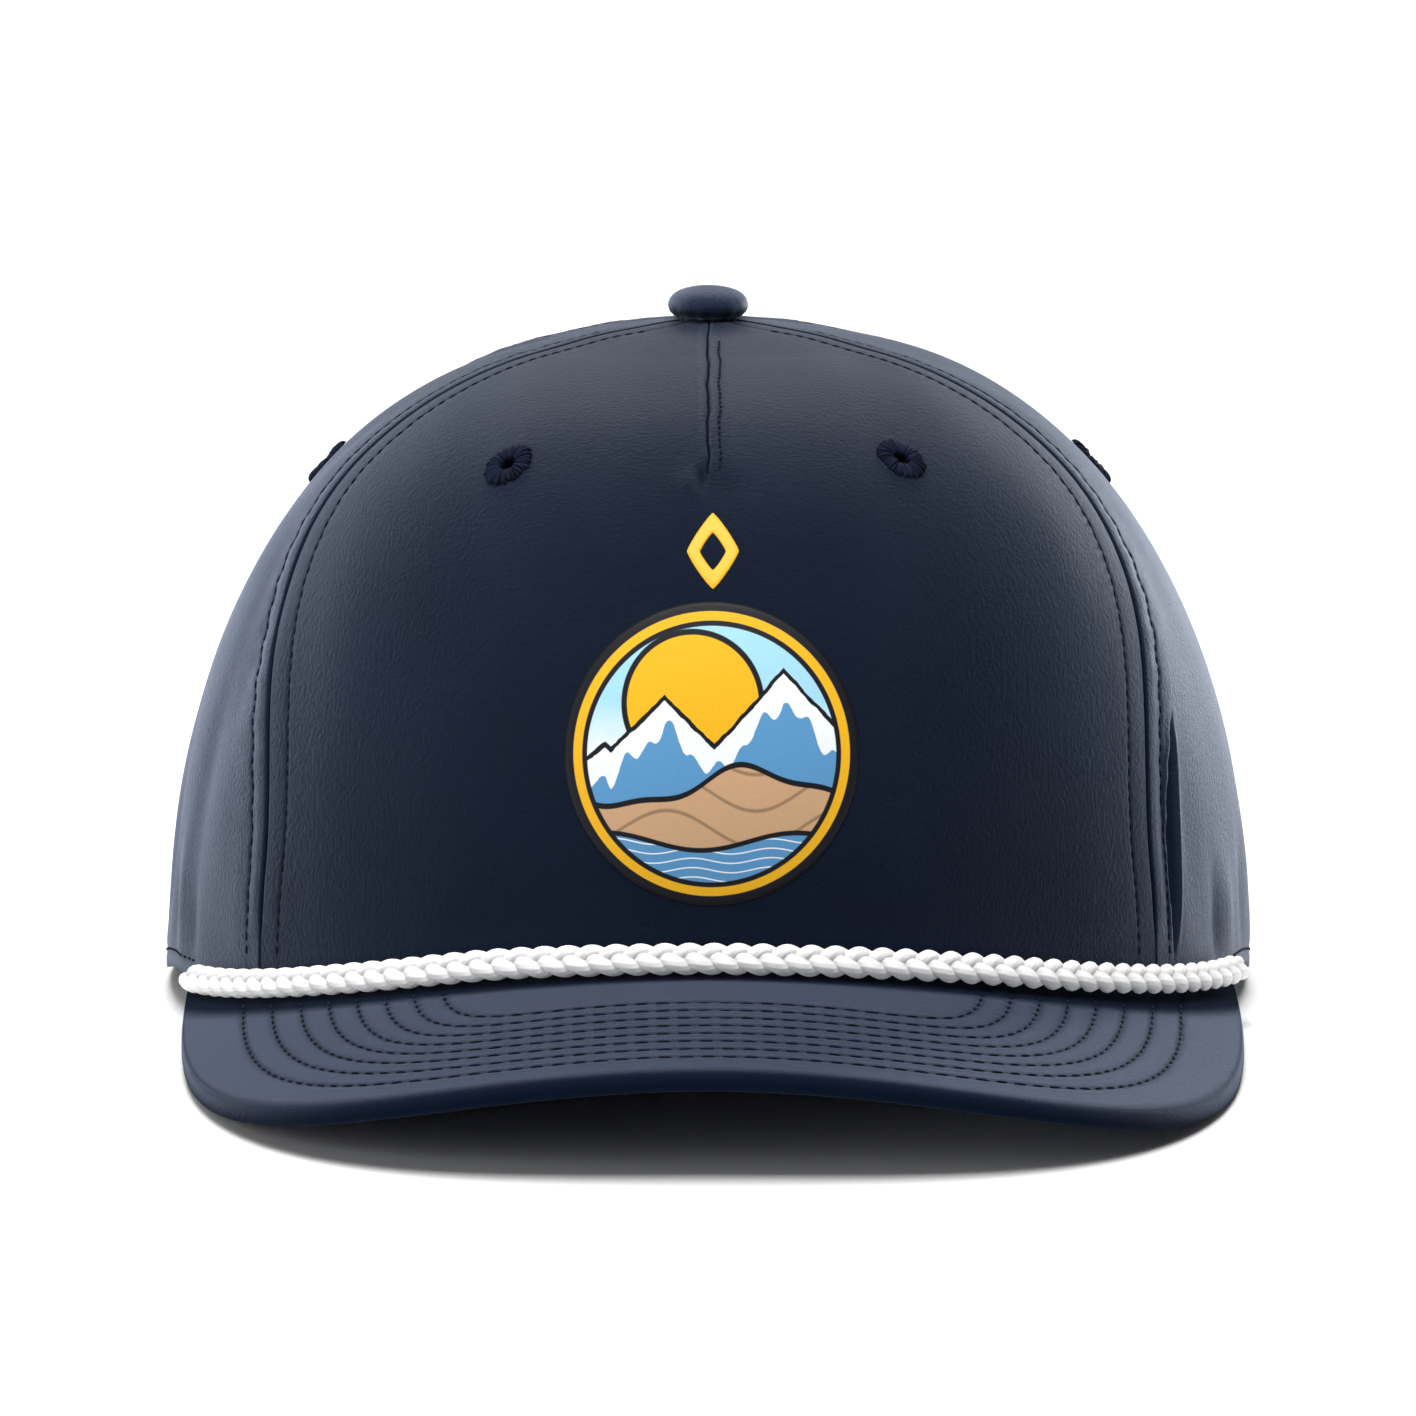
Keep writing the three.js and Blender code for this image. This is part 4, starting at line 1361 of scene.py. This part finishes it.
def rope_line():
    """The cord's middle line with its outward direction and the one across it."""
    angle = np.linspace(ROPE["start_angle"], ROPE["end_angle"], ROPE["samples"])
    x, y = rim_point(angle)
    outward = dome_normal(angle, np.full_like(angle, 0.001))
    outward = unit(outward * np.array([1.0, 1.0, 0.0]))
    x, y = x + outward[:, 0] * ROPE["clear"], y + outward[:, 1] * ROPE["clear"]
    slope_x = visor_top(x + 0.5, y) - visor_top(x - 0.5, y)
    slope_y = visor_top(x, y + 0.5) - visor_top(x, y - 0.5)
    z = visor_top(x, y) + ROPE["clear"] * np.sqrt(1 + slope_x**2 + slope_y**2)
    to_right = smoothstep(angle, ROPE["right_from"], ROPE["right_to"])
    z = z + ROPE["right_rise"] * to_right + forms_rise(angle, ROPE_LIES)
    line = np.stack([x, y, z], -1)
    heading = unit(np.gradient(line, axis=0))
    lean = unit(outward * 0.75 + np.array([0.0, 0.0, 0.66]))
    across = unit(np.cross(heading, lean))
    return line, unit(np.cross(across, heading)), across


class CAP_OT_rope(bpy.types.Operator):
    """Plait the white cord of three strands in the corner between visor and crown"""

    bl_idname = "cap.rope"
    bl_label = "Cord"

    def execute(self, context):
        cord = context.scene.cap_cord
        line, out, across = rope_line()
        travelled = path_lengths(line)
        total = travelled[-1]
        rows, sides = ROPE["rows"], ROPE["sides"]
        at = np.linspace(0, total, rows)
        middle = sampled(line, travelled, at)
        out_at, across_at = (unit(sampled(values, travelled, at)) for values in (out, across))
        to_end = np.minimum(at, total - at)
        round_off = np.sqrt(np.clip(1 - (1 - np.clip(to_end / ROPE_END["round"], 0, 1)) ** 2, 0, 1))
        slim = 1 - ROPE_END["slim"] * (1 - smoothstep(to_end, ROPE_END["slim_from"], ROPE_END["slim_to"]))
        finish = white_cord("white_cord_yarn")
        for strand in range(3):
            phase = 2 * np.pi * (at / (cord.lay / MM) + strand / 3)
            sway = cord.sway / MM * np.sin(phase) * (0.55 + 0.45 * round_off) * slim
            rise = cord.rise / MM * np.sin(2 * phase) * (0.6 + 0.4 * round_off) * slim
            path = middle + across_at * sway[:, None] + out_at * rise[:, None]
            tangent = unit(np.gradient(path, axis=0))
            side = unit(np.cross(tangent, out_at))
            up = np.cross(side, tangent)
            radius = cord.strand / MM * np.maximum(round_off, 0.02) * slim

            def place(column, row, path=path, side=side, up=up, radius=radius):
                turn = -2 * np.pi * column / (sides - 1)
                ring = side[row] * np.cos(turn)[:, None] + up[row] * np.sin(turn)[:, None]
                flat = np.stack([column / (sides - 1), at[row]], -1)
                points = path[row] + ring * radius[row][:, None]
                # Painted shade: points near the cord's middle line, deep between the strands, are darkened
                from_middle = np.linalg.norm(points - middle[row], axis=1)
                return points, flat, np.clip((ROPE["lit"] - from_middle) / ROPE["deep"], 0, 1)

            name = f"cord_strand_{strand + 1}"
            mesh = closed_up(mapped_grid(name, sides, rows, place))
            add_piece(name, mesh, finish, ["rope"])
        return {"FINISHED"}


BUTTON_OUTLINE = table(
    "radius height",
    (0.0, -2.4),
    (4.6, -2.4),
    (5.2, 0.15),
    (5.9, 0.35),
    (6.45, 0.9),
    (6.75, 1.65),
    (6.78, 2.3),
    (6.55, 3.05),
    (6.0, 3.75),
    (5.1, 4.35),
    (4.0, 4.75),
    (2.7, 5.05),
    (1.3, 5.25),
    (0.0, 5.3),
)


class CAP_OT_button(bpy.types.Operator):
    """Cover the crown's button with cloth that is gathered under its edge"""

    bl_idname = "cap.button"
    bl_label = "Button"

    def execute(self, context):
        form = form_of(spun("button_spun", BUTTON_OUTLINE, 72))
        bmesh.ops.subdivide_edges(form, edges=form.edges, cuts=1, use_grid_fill=True)
        mesh = written(form, bpy.data.meshes.new("button_cloth"))
        points = read_points(mesh)
        turn = np.arctan2(points[:, 1], points[:, 0])
        low = (1 - smoothstep(points[:, 2], 0.4, 2.6)) * smoothstep(points[:, 2], -0.4, 0.2)
        gather = 0.07 * low * (np.sin(turn * 13) + 0.6 * np.sin(turn * 21 + 1.3))
        soft = 0.05 * np.sin(turn * 3 + 0.4) * smoothstep(points[:, 2], 2, 5)
        radius = np.hypot(points[:, 0], points[:, 1])
        grow = 1 + (gather + soft) / np.maximum(radius, 1)
        points = points * np.stack([grow, grow, np.ones_like(grow)], -1)
        write_flat(mesh, points[:, :2] * 1.3 + points[:, 2:] * 0.6)
        # Painted shade in the gathers and on the low band under the button's edge
        write_share(mesh, "painted_shade", np.clip(-gather * 3 + low * 0.5, 0, 1))
        base = np.array([0, APEX["y"], APEX["z"] + PEAK["rise"]])
        write_points(mesh, in_frame(points + base))
        # Its base colour is 1.6 times as pale as the crown's cloth: painted light on the button
        finish = navy_cloth("navy_button_cloth", 0.95, 0.3, 1.6)
        add_piece("button_cloth", mesh, finish, ["button"])
        return {"FINISHED"}


# Section of the ring under an eyelet's threads, which closes up round the hole
EYELET_BASE = table(
    "radius height",
    (1.25, -2.7),
    (3.6, -2.7),
    (3.6, -2.0),
    (1.9, -1.9),
    (1.9, -0.2),
    (3.7, -0.15),
    (3.4, 0.3),
    (2.6, 0.55),
    (1.8, 0.35),
    (1.3, -0.2),
    (1.25, -2.7),
)


# A thread of an eyelet: its arch, its tuck into the hole, its thickness inside and what it gains outside
THREAD = {"arch": 0.72, "tuck": 0.5, "sink": 0.05, "thick": 0.17, "gain": 0.1, "flat": 0.8}


def thread_loop(bore, reach):
    """One thread of an eyelet, over its ring from the hole to the outer edge, in the plane of X and Z."""
    sides, rows = 6, 9
    turn = np.linspace(0, np.pi, rows)
    middle, half = (bore + reach) / 2, (reach - bore) / 2
    path_x = middle - half * np.cos(turn)
    path_z = THREAD["arch"] * np.sin(turn) ** 0.8 - THREAD["tuck"] * (turn < 0.3) - THREAD["sink"]

    def place(column, row):
        around = 2 * np.pi * column / (sides - 1)
        thick = THREAD["thick"] + THREAD["gain"] * row / (rows - 1)
        lean = np.pi - turn[row]
        off = thick * THREAD["flat"] * np.cos(around)
        x, z = path_x[row] + off * np.cos(lean), path_z[row] + off * np.sin(lean)
        return np.stack([x, thick * np.sin(around), z], -1), np.stack([column, row], -1)

    mesh = mapped_grid("thread_loop", sides, rows, place)
    write_points(mesh, read_points(mesh) / MM - CROWN_MIDDLE)
    return closed_up(mesh, 0.01)


def eyelet_axes(spot):
    """The three axes of an eyelet on the cloth: across, up the cloth and outwards."""
    out = dome_normal(spot["angle"], spot["along"])
    across = unit(np.cross(np.array([0.0, 0.0, 1.0]), out))
    return np.stack([across, np.cross(out, across) * 1.12, out], -1)


class CAP_OT_eyelets(bpy.types.Operator):
    """Embroider the six eyelets with threads that radiate from their holes"""

    bl_idname = "cap.eyelets"
    bl_label = "Eyelets"

    def execute(self, context):
        eyelet = context.scene.cap_eyelet
        loop = thread_loop(eyelet.bore / MM + 0.05, eyelet.reach / MM - 0.1)
        base = spun("eyelet_base", EYELET_BASE, 32)
        finish = sewing_thread("navy_eyelet_thread", 4.0)
        count = eyelet.threads
        for order, (name, spot) in enumerate(EYELETS.items()):
            chance = np.random.default_rng(40 + order)
            axes = eyelet_axes(spot)
            centre = cloth_point(spot["panel"], spot["angle"], spot["along"], 0.05)
            turn = np.linspace(0, 2 * np.pi, count, endpoint=False) + chance.normal(0, 0.02, count)
            spin = np.zeros((count, 3, 3))
            spin[:, 0, 0] = spin[:, 1, 1] = np.cos(turn)
            spin[:, 1, 0], spin[:, 0, 1] = np.sin(turn), -np.sin(turn)
            spin[:, 2, 2] = 1
            longer, higher = chance.normal(1, 0.045, count), chance.normal(1, 0.14, count)
            stretch = np.stack([longer, np.ones(count), higher], -1)
            places = np.repeat(centre[None], count, axis=0)
            threads = copies(name + "_threads", loop, places, (axes[None] @ spin) * stretch[:, None, :])
            add_piece(name + "_threads", threads, finish, [name])
            ring = copies(name + "_ring", base, centre[None], axes[None])
            add_piece(name + "_ring", ring, finish, [name])
        return {"FINISHED"}


def crown_runs():
    """Every run of stitches on the crown's panels."""
    runs = []
    for panel, spec in PANELS.items():
        for edge in ("from", "to"):
            low = 0.33 if spec[edge] in ("back", "back_minus") else 0.03
            runs.append(seam_run(panel, edge, low, 0.965 if panel == "front_panel" else 0.935))
    for side in (-1, 1):
        for panel, low, high in (("side_panel", 66, 116.2), ("back_panel", 118, 157.5)):
            angle = np.linspace(low, high, 200) * side
            along = along_at_height(angle, hem_height(angle) + HEM_STITCH, True)
            name = f"{panel}_{'right' if side > 0 else 'left'}"
            runs.append(crown_run(name, angle, along))
    return runs


def dart_runs():
    along = np.linspace(0.628, 0.955, 160)
    angle = (DART_STITCH - from_dart(0, along)) / round_scale(np.zeros_like(along), along)
    return [crown_run("front_panel", angle, along)]


def visor_runs():
    """A run of stitches for each row of the visor, ending where the cord covers it."""
    rows = bpy.context.scene.cap_cloth.rows
    turn = np.linspace(-np.pi / 2, np.pi / 2, 900)
    runs = []
    for number in range(rows):
        half = VISOR_ROWS["half_width"] - VISOR_ROWS["width_step"] * number
        reach = VISOR_ROWS["reach"] - VISOR_ROWS["reach_step"] * number
        power = 2 / row_power(number)
        x = half * np.sign(turn) * np.abs(np.sin(turn)) ** power + VISOR["aside"]
        y = VISOR["start_y"] - reach * np.abs(np.cos(turn)) ** power
        clear = beyond_rim(x, y) > 4.6
        x, y = x[clear], y[clear]
        z = visor_top(x, y) - 0.12
        slope_x = visor_top(x + 1, y) - visor_top(x, y)
        slope_y = visor_top(x, y + 1) - visor_top(x, y)
        runs.append((np.stack([x, y, z], -1), unit(np.stack([-slope_x, -slope_y, np.ones_like(x)], -1))))
    return runs


def arch_runs():
    runs = []
    for off in (1.2, 4.6):
        share = np.linspace(0.005, 0.995, 300)
        x, z = arch_edge(share, np.full_like(share, off))
        runs.append(back_surface(x, z, np.full_like(share, 0.34)))
    return runs


SWEATBAND = {"end_angle": 144.0, "top": 0.19, "depth": 2.25, "front_drop": 3.2, "side_lift": 1.0}
# The inner band is soft: thicker in its middle, drawn in at its stitched upper edge and a little wavy
BAND_SWELL = {"middle": 0.5, "drawn": 0.25, "drawn_at": 0.9, "wave": 0.12, "waves": 31, "wave_at": 0.75}


def band_lift(angle):
    return SWEATBAND["side_lift"] - (SWEATBAND["front_drop"] + SWEATBAND["side_lift"]) * hem_on_visor(angle)


def band_point(angle, share, top, lift, inset):
    """A point of a band that follows the crown's inside; share runs from its low to its high edge."""
    along = top * share
    point = dome(angle, along) - dome_normal(angle, along) * np.asarray(inset)[..., None]
    point[..., 2] += lift * (1 - share)
    return point


def band_swell(angle, share):
    form = BAND_SWELL
    swell = form["middle"] * np.sin(np.pi * np.clip(share, 0, 1))
    swell = swell - form["drawn"] * bump(share, form["drawn_at"], 0.05)
    wave = form["wave"] * np.sin(np.radians(angle) * form["waves"] + share * 4)
    return swell + wave * bump(share, form["wave_at"], 0.2)


def band_runs():
    angle = np.linspace(-SWEATBAND["end_angle"] + 2, SWEATBAND["end_angle"] - 2, 900)
    runs = []
    for share in (0.9, 0.1):
        shares = np.full_like(angle, share)
        inset = SWEATBAND["depth"] + 0.02 + band_swell(angle, share)
        path = band_point(angle, shares, SWEATBAND["top"], band_lift(angle), inset + 1.1)
        runs.append((path, -dome_normal(angle, SWEATBAND["top"] * shares)))
    return runs


class CAP_OT_sweatband(bpy.types.Operator):
    """Lay the plain inner band round the rim"""

    bl_idname = "cap.sweatband"
    bl_label = "Inner band"

    def execute(self, context):
        columns, rows = 420, 26
        end = SWEATBAND["end_angle"]

        def place(column, row):
            angle = end - 2 * end * column / (columns - 1)
            share = row / (rows - 1)
            inset = SWEATBAND["depth"] + band_swell(angle, share)
            point = band_point(angle, share, SWEATBAND["top"], band_lift(angle), inset)
            return point, np.stack([angle * 1.6, share * 30], -1)

        mesh = mapped_grid("sweatband_cloth", columns, rows, place)
        finish = twill_band("navy_band_twill")
        piece = add_piece("sweatband_cloth", mesh, finish, ["sweatband"])
        add_wall(piece, context.scene.cap_cloth.band_wall, 1)
        return {"FINISHED"}


STRAP = {"top": 0.11, "thickness": 1.8, "start_angle": 146.0, "lift": 1.0, "depth": 2.25, "border": 0.16}
# How square the strap's section is, along its height and through its thickness
STRAP_POWERS = {"height": 0.28, "depth": 0.55}


class CAP_OT_strap(bpy.types.Operator):
    """Mould the plain strap across the back arch, with rounded edges and a raised border"""

    bl_idname = "cap.strap"
    bl_label = "Strap"

    def execute(self, context):
        columns, rows = 120, 41
        start = STRAP["start_angle"]

        def place(column, row):
            angle = start + (360 - 2 * start) * column / (columns - 1)
            turn = 2 * np.pi * row / (rows - 1)
            height = np.sign(np.sin(turn)) * np.abs(np.sin(turn)) ** STRAP_POWERS["height"]
            depth = np.sign(np.cos(turn)) * np.abs(np.cos(turn)) ** STRAP_POWERS["depth"]
            border = STRAP["border"] * (smoothstep(np.abs(height), 0.72, 0.78) - 1)
            half = STRAP["thickness"] / 2
            inset = STRAP["depth"] + half - depth * (half + border)
            share = 0.5 + 0.5 * height
            point = band_point(angle, share, STRAP["top"], STRAP["lift"], inset)
            return point, np.stack([angle * 1.6, share * 17], -1)

        mesh = closed_up(mapped_grid("strap_moulding", columns, rows, place))
        finish = moulded_plastic("navy_strap_plastic")
        add_piece("strap_moulding", mesh, finish, ["snap_strap"])
        return {"FINISHED"}


# Each piece of stitches: its runs, and the length of a stitch beside the thread's full length
STITCHES = {
    "crown_stitches": {"runs": crown_runs, "share": 0.68},
    "dart_stitches": {"runs": dart_runs, "share": 0.5},
    "visor_stitches": {"runs": visor_runs, "share": 1.0},
    "arch_stitches": {"runs": arch_runs, "share": 0.8},
    "band_stitches": {"runs": band_runs, "share": 1.0},
}


class CAP_OT_stitches(bpy.types.Operator):
    """Sew the dark stitches of the seams, the hem, the arch, the visor's rows and the inner band"""

    bl_idname = "cap.stitches"
    bl_label = "Stitches"

    def execute(self, context):
        thread = context.scene.cap_thread
        finish = sewing_thread("navy_sewing_thread")
        for name, work in STITCHES.items():
            mesh = sewn(name, work["runs"](), thread, work["share"])
            add_piece(name, mesh, finish)
        return {"FINISHED"}


BADGE = {"radius": 23.6, "x": 0.6, "z": 55.2, "rings": 46, "spokes": 144, "lift": 0.2}
LOZENGE = {"x": 0.8, "z": 86.1, "half_width": 4.2, "half_height": 5.5, "power": 1.15}
# The lozenge from its outer edge to the edge of its open middle
LOZENGE_SECTION = table(
    "scale lift",
    (1.0, -0.1),
    (1.0, 0.14),
    (0.985, 0.22),
    (0.85, 0.22),
    (0.7, 0.22),
    (0.56, 0.22),
    (0.5, 0.14),
    (0.49, -0.1),
)


def on_front(x, z, lift):
    """A point of the front panel's cloth over a place seen from the front."""
    angle, along = solve_angle(x, z, 0, 70, True)
    return cloth_point("front_panel", angle, along, lift)


class CAP_OT_badge(bpy.types.Operator):
    """Print the plain round landscape and the small open lozenge above it on the front panel"""

    bl_idname = "cap.badge"
    bl_label = "Front print"

    def execute(self, context):
        spokes, rings = BADGE["spokes"], BADGE["rings"]

        def round_place(column, row):
            turn = -2 * np.pi * column / (spokes - 1)
            radius = BADGE["radius"] * np.minimum(row / (rings - 2), 1)
            x, z = radius * np.cos(turn), radius * np.sin(turn)
            lift = np.where(row < rings - 2, BADGE["lift"], np.where(row < rings - 1, 0.12, -0.1))
            return on_front(x + BADGE["x"], z + BADGE["z"], lift), np.stack([x, z], -1)

        mesh = closed_up(mapped_grid("front_badge", spokes, rings, round_place), fill=False)
        add_piece("front_badge", mesh, printed_badge("badge_inks"))
        scales = np.array([step["scale"] for step in LOZENGE_SECTION])
        lifts = np.array([step["lift"] for step in LOZENGE_SECTION])
        corner_steps = 97

        def lozenge_place(column, row):
            turn = -2 * np.pi * column / (corner_steps - 1)
            cosine, sine = np.cos(turn), np.sin(turn)
            power = LOZENGE["power"]
            reach = 1 / (np.abs(cosine) ** power + np.abs(sine) ** power) ** (1 / power)
            x = LOZENGE["half_width"] * reach * cosine * scales[row]
            z = LOZENGE["half_height"] * reach * sine * scales[row]
            return on_front(x + LOZENGE["x"], z + LOZENGE["z"], lifts[row]), np.stack([x, z], -1)

        mesh = mapped_grid("front_lozenge", corner_steps, len(scales), lozenge_place)
        finish = printed_lozenge("lozenge_ink")
        add_piece("front_lozenge", closed_up(mesh, fill=False), finish)
        return {"FINISHED"}


LAMPS = {
    "back_softbox": {"place": (0.0, 2.2, 1.7), "size": 1.6, "power": 36.0},
    "overhead_softbox": {"place": (0.0, -0.45, 1.6), "size": 1.0, "power": 37.0},
    "front_left_softbox": {"place": (-1.3, -1.0, 0.5), "size": 0.9, "power": 9.0},
    "high_left_softbox": {"place": (-1.1, 0.2, 1.3), "size": 0.9, "power": 3.0},
    "left_rim_softbox": {"place": (-0.9, 1.1, 0.4), "size": 0.4, "power": 1.5},
    "right_rim_softbox": {"place": (0.76, 1.24, 0.15), "size": 0.28, "power": 7.5},
    "backdrop_softbox": {"place": (0.0, 2.1, 1.5), "size": 1.6, "power": 5.0, "aim": (0.0, 2.1, 0.0)},
}


def add_lamp(name, place, size, power, aim):
    light = bpy.data.lights.new(name, "AREA")
    light.shape = "SQUARE"
    light.size = size
    light.energy = power
    lamp = bpy.data.objects.new(name, light)
    bpy.context.scene.collection.objects.link(lamp)
    lamp.location = place
    lamp.rotation_euler = (Vector(aim) - Vector(place)).to_track_quat("-Z", "Y").to_euler()


class CAP_OT_studio(bpy.types.Operator):
    """Set the pale floor, the soft lights, the white room and the camera"""

    bl_idname = "cap.studio"
    bl_label = "Studio"

    def execute(self, context):
        studio = context.scene.cap_studio
        form = bmesh.new()
        bmesh.ops.create_grid(form, x_segments=8, y_segments=8, size=6)
        mesh = written(form, bpy.data.meshes.new("floor"))
        mesh.materials.append(pale_floor("pale_floor"))
        floor = bpy.data.objects.new("floor", mesh)
        context.scene.collection.objects.link(floor)
        for name, lamp in LAMPS.items():
            add_lamp(name, **{"aim": studio.aim, **lamp})
        world = bpy.data.worlds.new("white_room")
        world.use_nodes = True
        background = world.node_tree.nodes["Background"]
        background.inputs["Color"].default_value = (1, 1, 1, 1)
        background.inputs["Strength"].default_value = studio.world
        context.scene.world = world
        context.scene.view_settings.view_transform = "Standard"
        camera = bpy.data.cameras.new("photo_camera")
        camera.lens = studio.lens
        camera.sensor_width = 36
        viewer = bpy.data.objects.new("photo_camera", camera)
        context.scene.collection.objects.link(viewer)
        back = Vector((0, -math.cos(studio.elevation), math.sin(studio.elevation)))
        viewer.location = Vector(studio.aim) + back * studio.distance
        viewer.rotation_euler = (-back).to_track_quat("-Z", "Y").to_euler()
        context.scene.camera = viewer
        return {"FINISHED"}


class CAP_PT_cap(bpy.types.Panel):
    """The sizes and colours of the cap, and the steps that make it"""

    bl_idname = "CAP_PT_cap"
    bl_label = "Five-panel rope cap"
    bl_space_type = "VIEW_3D"
    bl_region_type = "UI"
    bl_category = "Cap"

    def draw(self, context):
        for group, kind in GROUPS.items():
            column = self.layout.column(align=True)
            for name in kind.__annotations__:
                column.prop(getattr(context.scene, group), name)
        for operator in OPERATORS:
            self.layout.operator(operator.bl_idname)


GROUPS = {
    "cap_cloth": CapCloth,
    "cap_thread": CapThread,
    "cap_cord": CapCord,
    "cap_eyelet": CapEyelet,
    "cap_colours": CapColours,
    "cap_studio": CapStudio,
}
OPERATORS = [
    CAP_OT_studio,
    CAP_OT_panels,
    CAP_OT_arch,
    CAP_OT_visor,
    CAP_OT_rope,
    CAP_OT_button,
    CAP_OT_eyelets,
    CAP_OT_sweatband,
    CAP_OT_strap,
    CAP_OT_stitches,
    CAP_OT_badge,
]


def register():
    for kind in [*GROUPS.values(), *OPERATORS, CAP_PT_cap]:
        bpy.utils.register_class(kind)
    for name, kind in GROUPS.items():
        setattr(bpy.types.Scene, name, bpy.props.PointerProperty(type=kind))


def unregister():
    for name in GROUPS:
        delattr(bpy.types.Scene, name)
    for kind in reversed([*GROUPS.values(), *OPERATORS, CAP_PT_cap]):
        bpy.utils.unregister_class(kind)


def main():
    register()
    for operator in OPERATORS:
        group, name = operator.bl_idname.split(".")
        getattr(getattr(bpy.ops, group), name)()


if __name__ == "__main__":
    main()
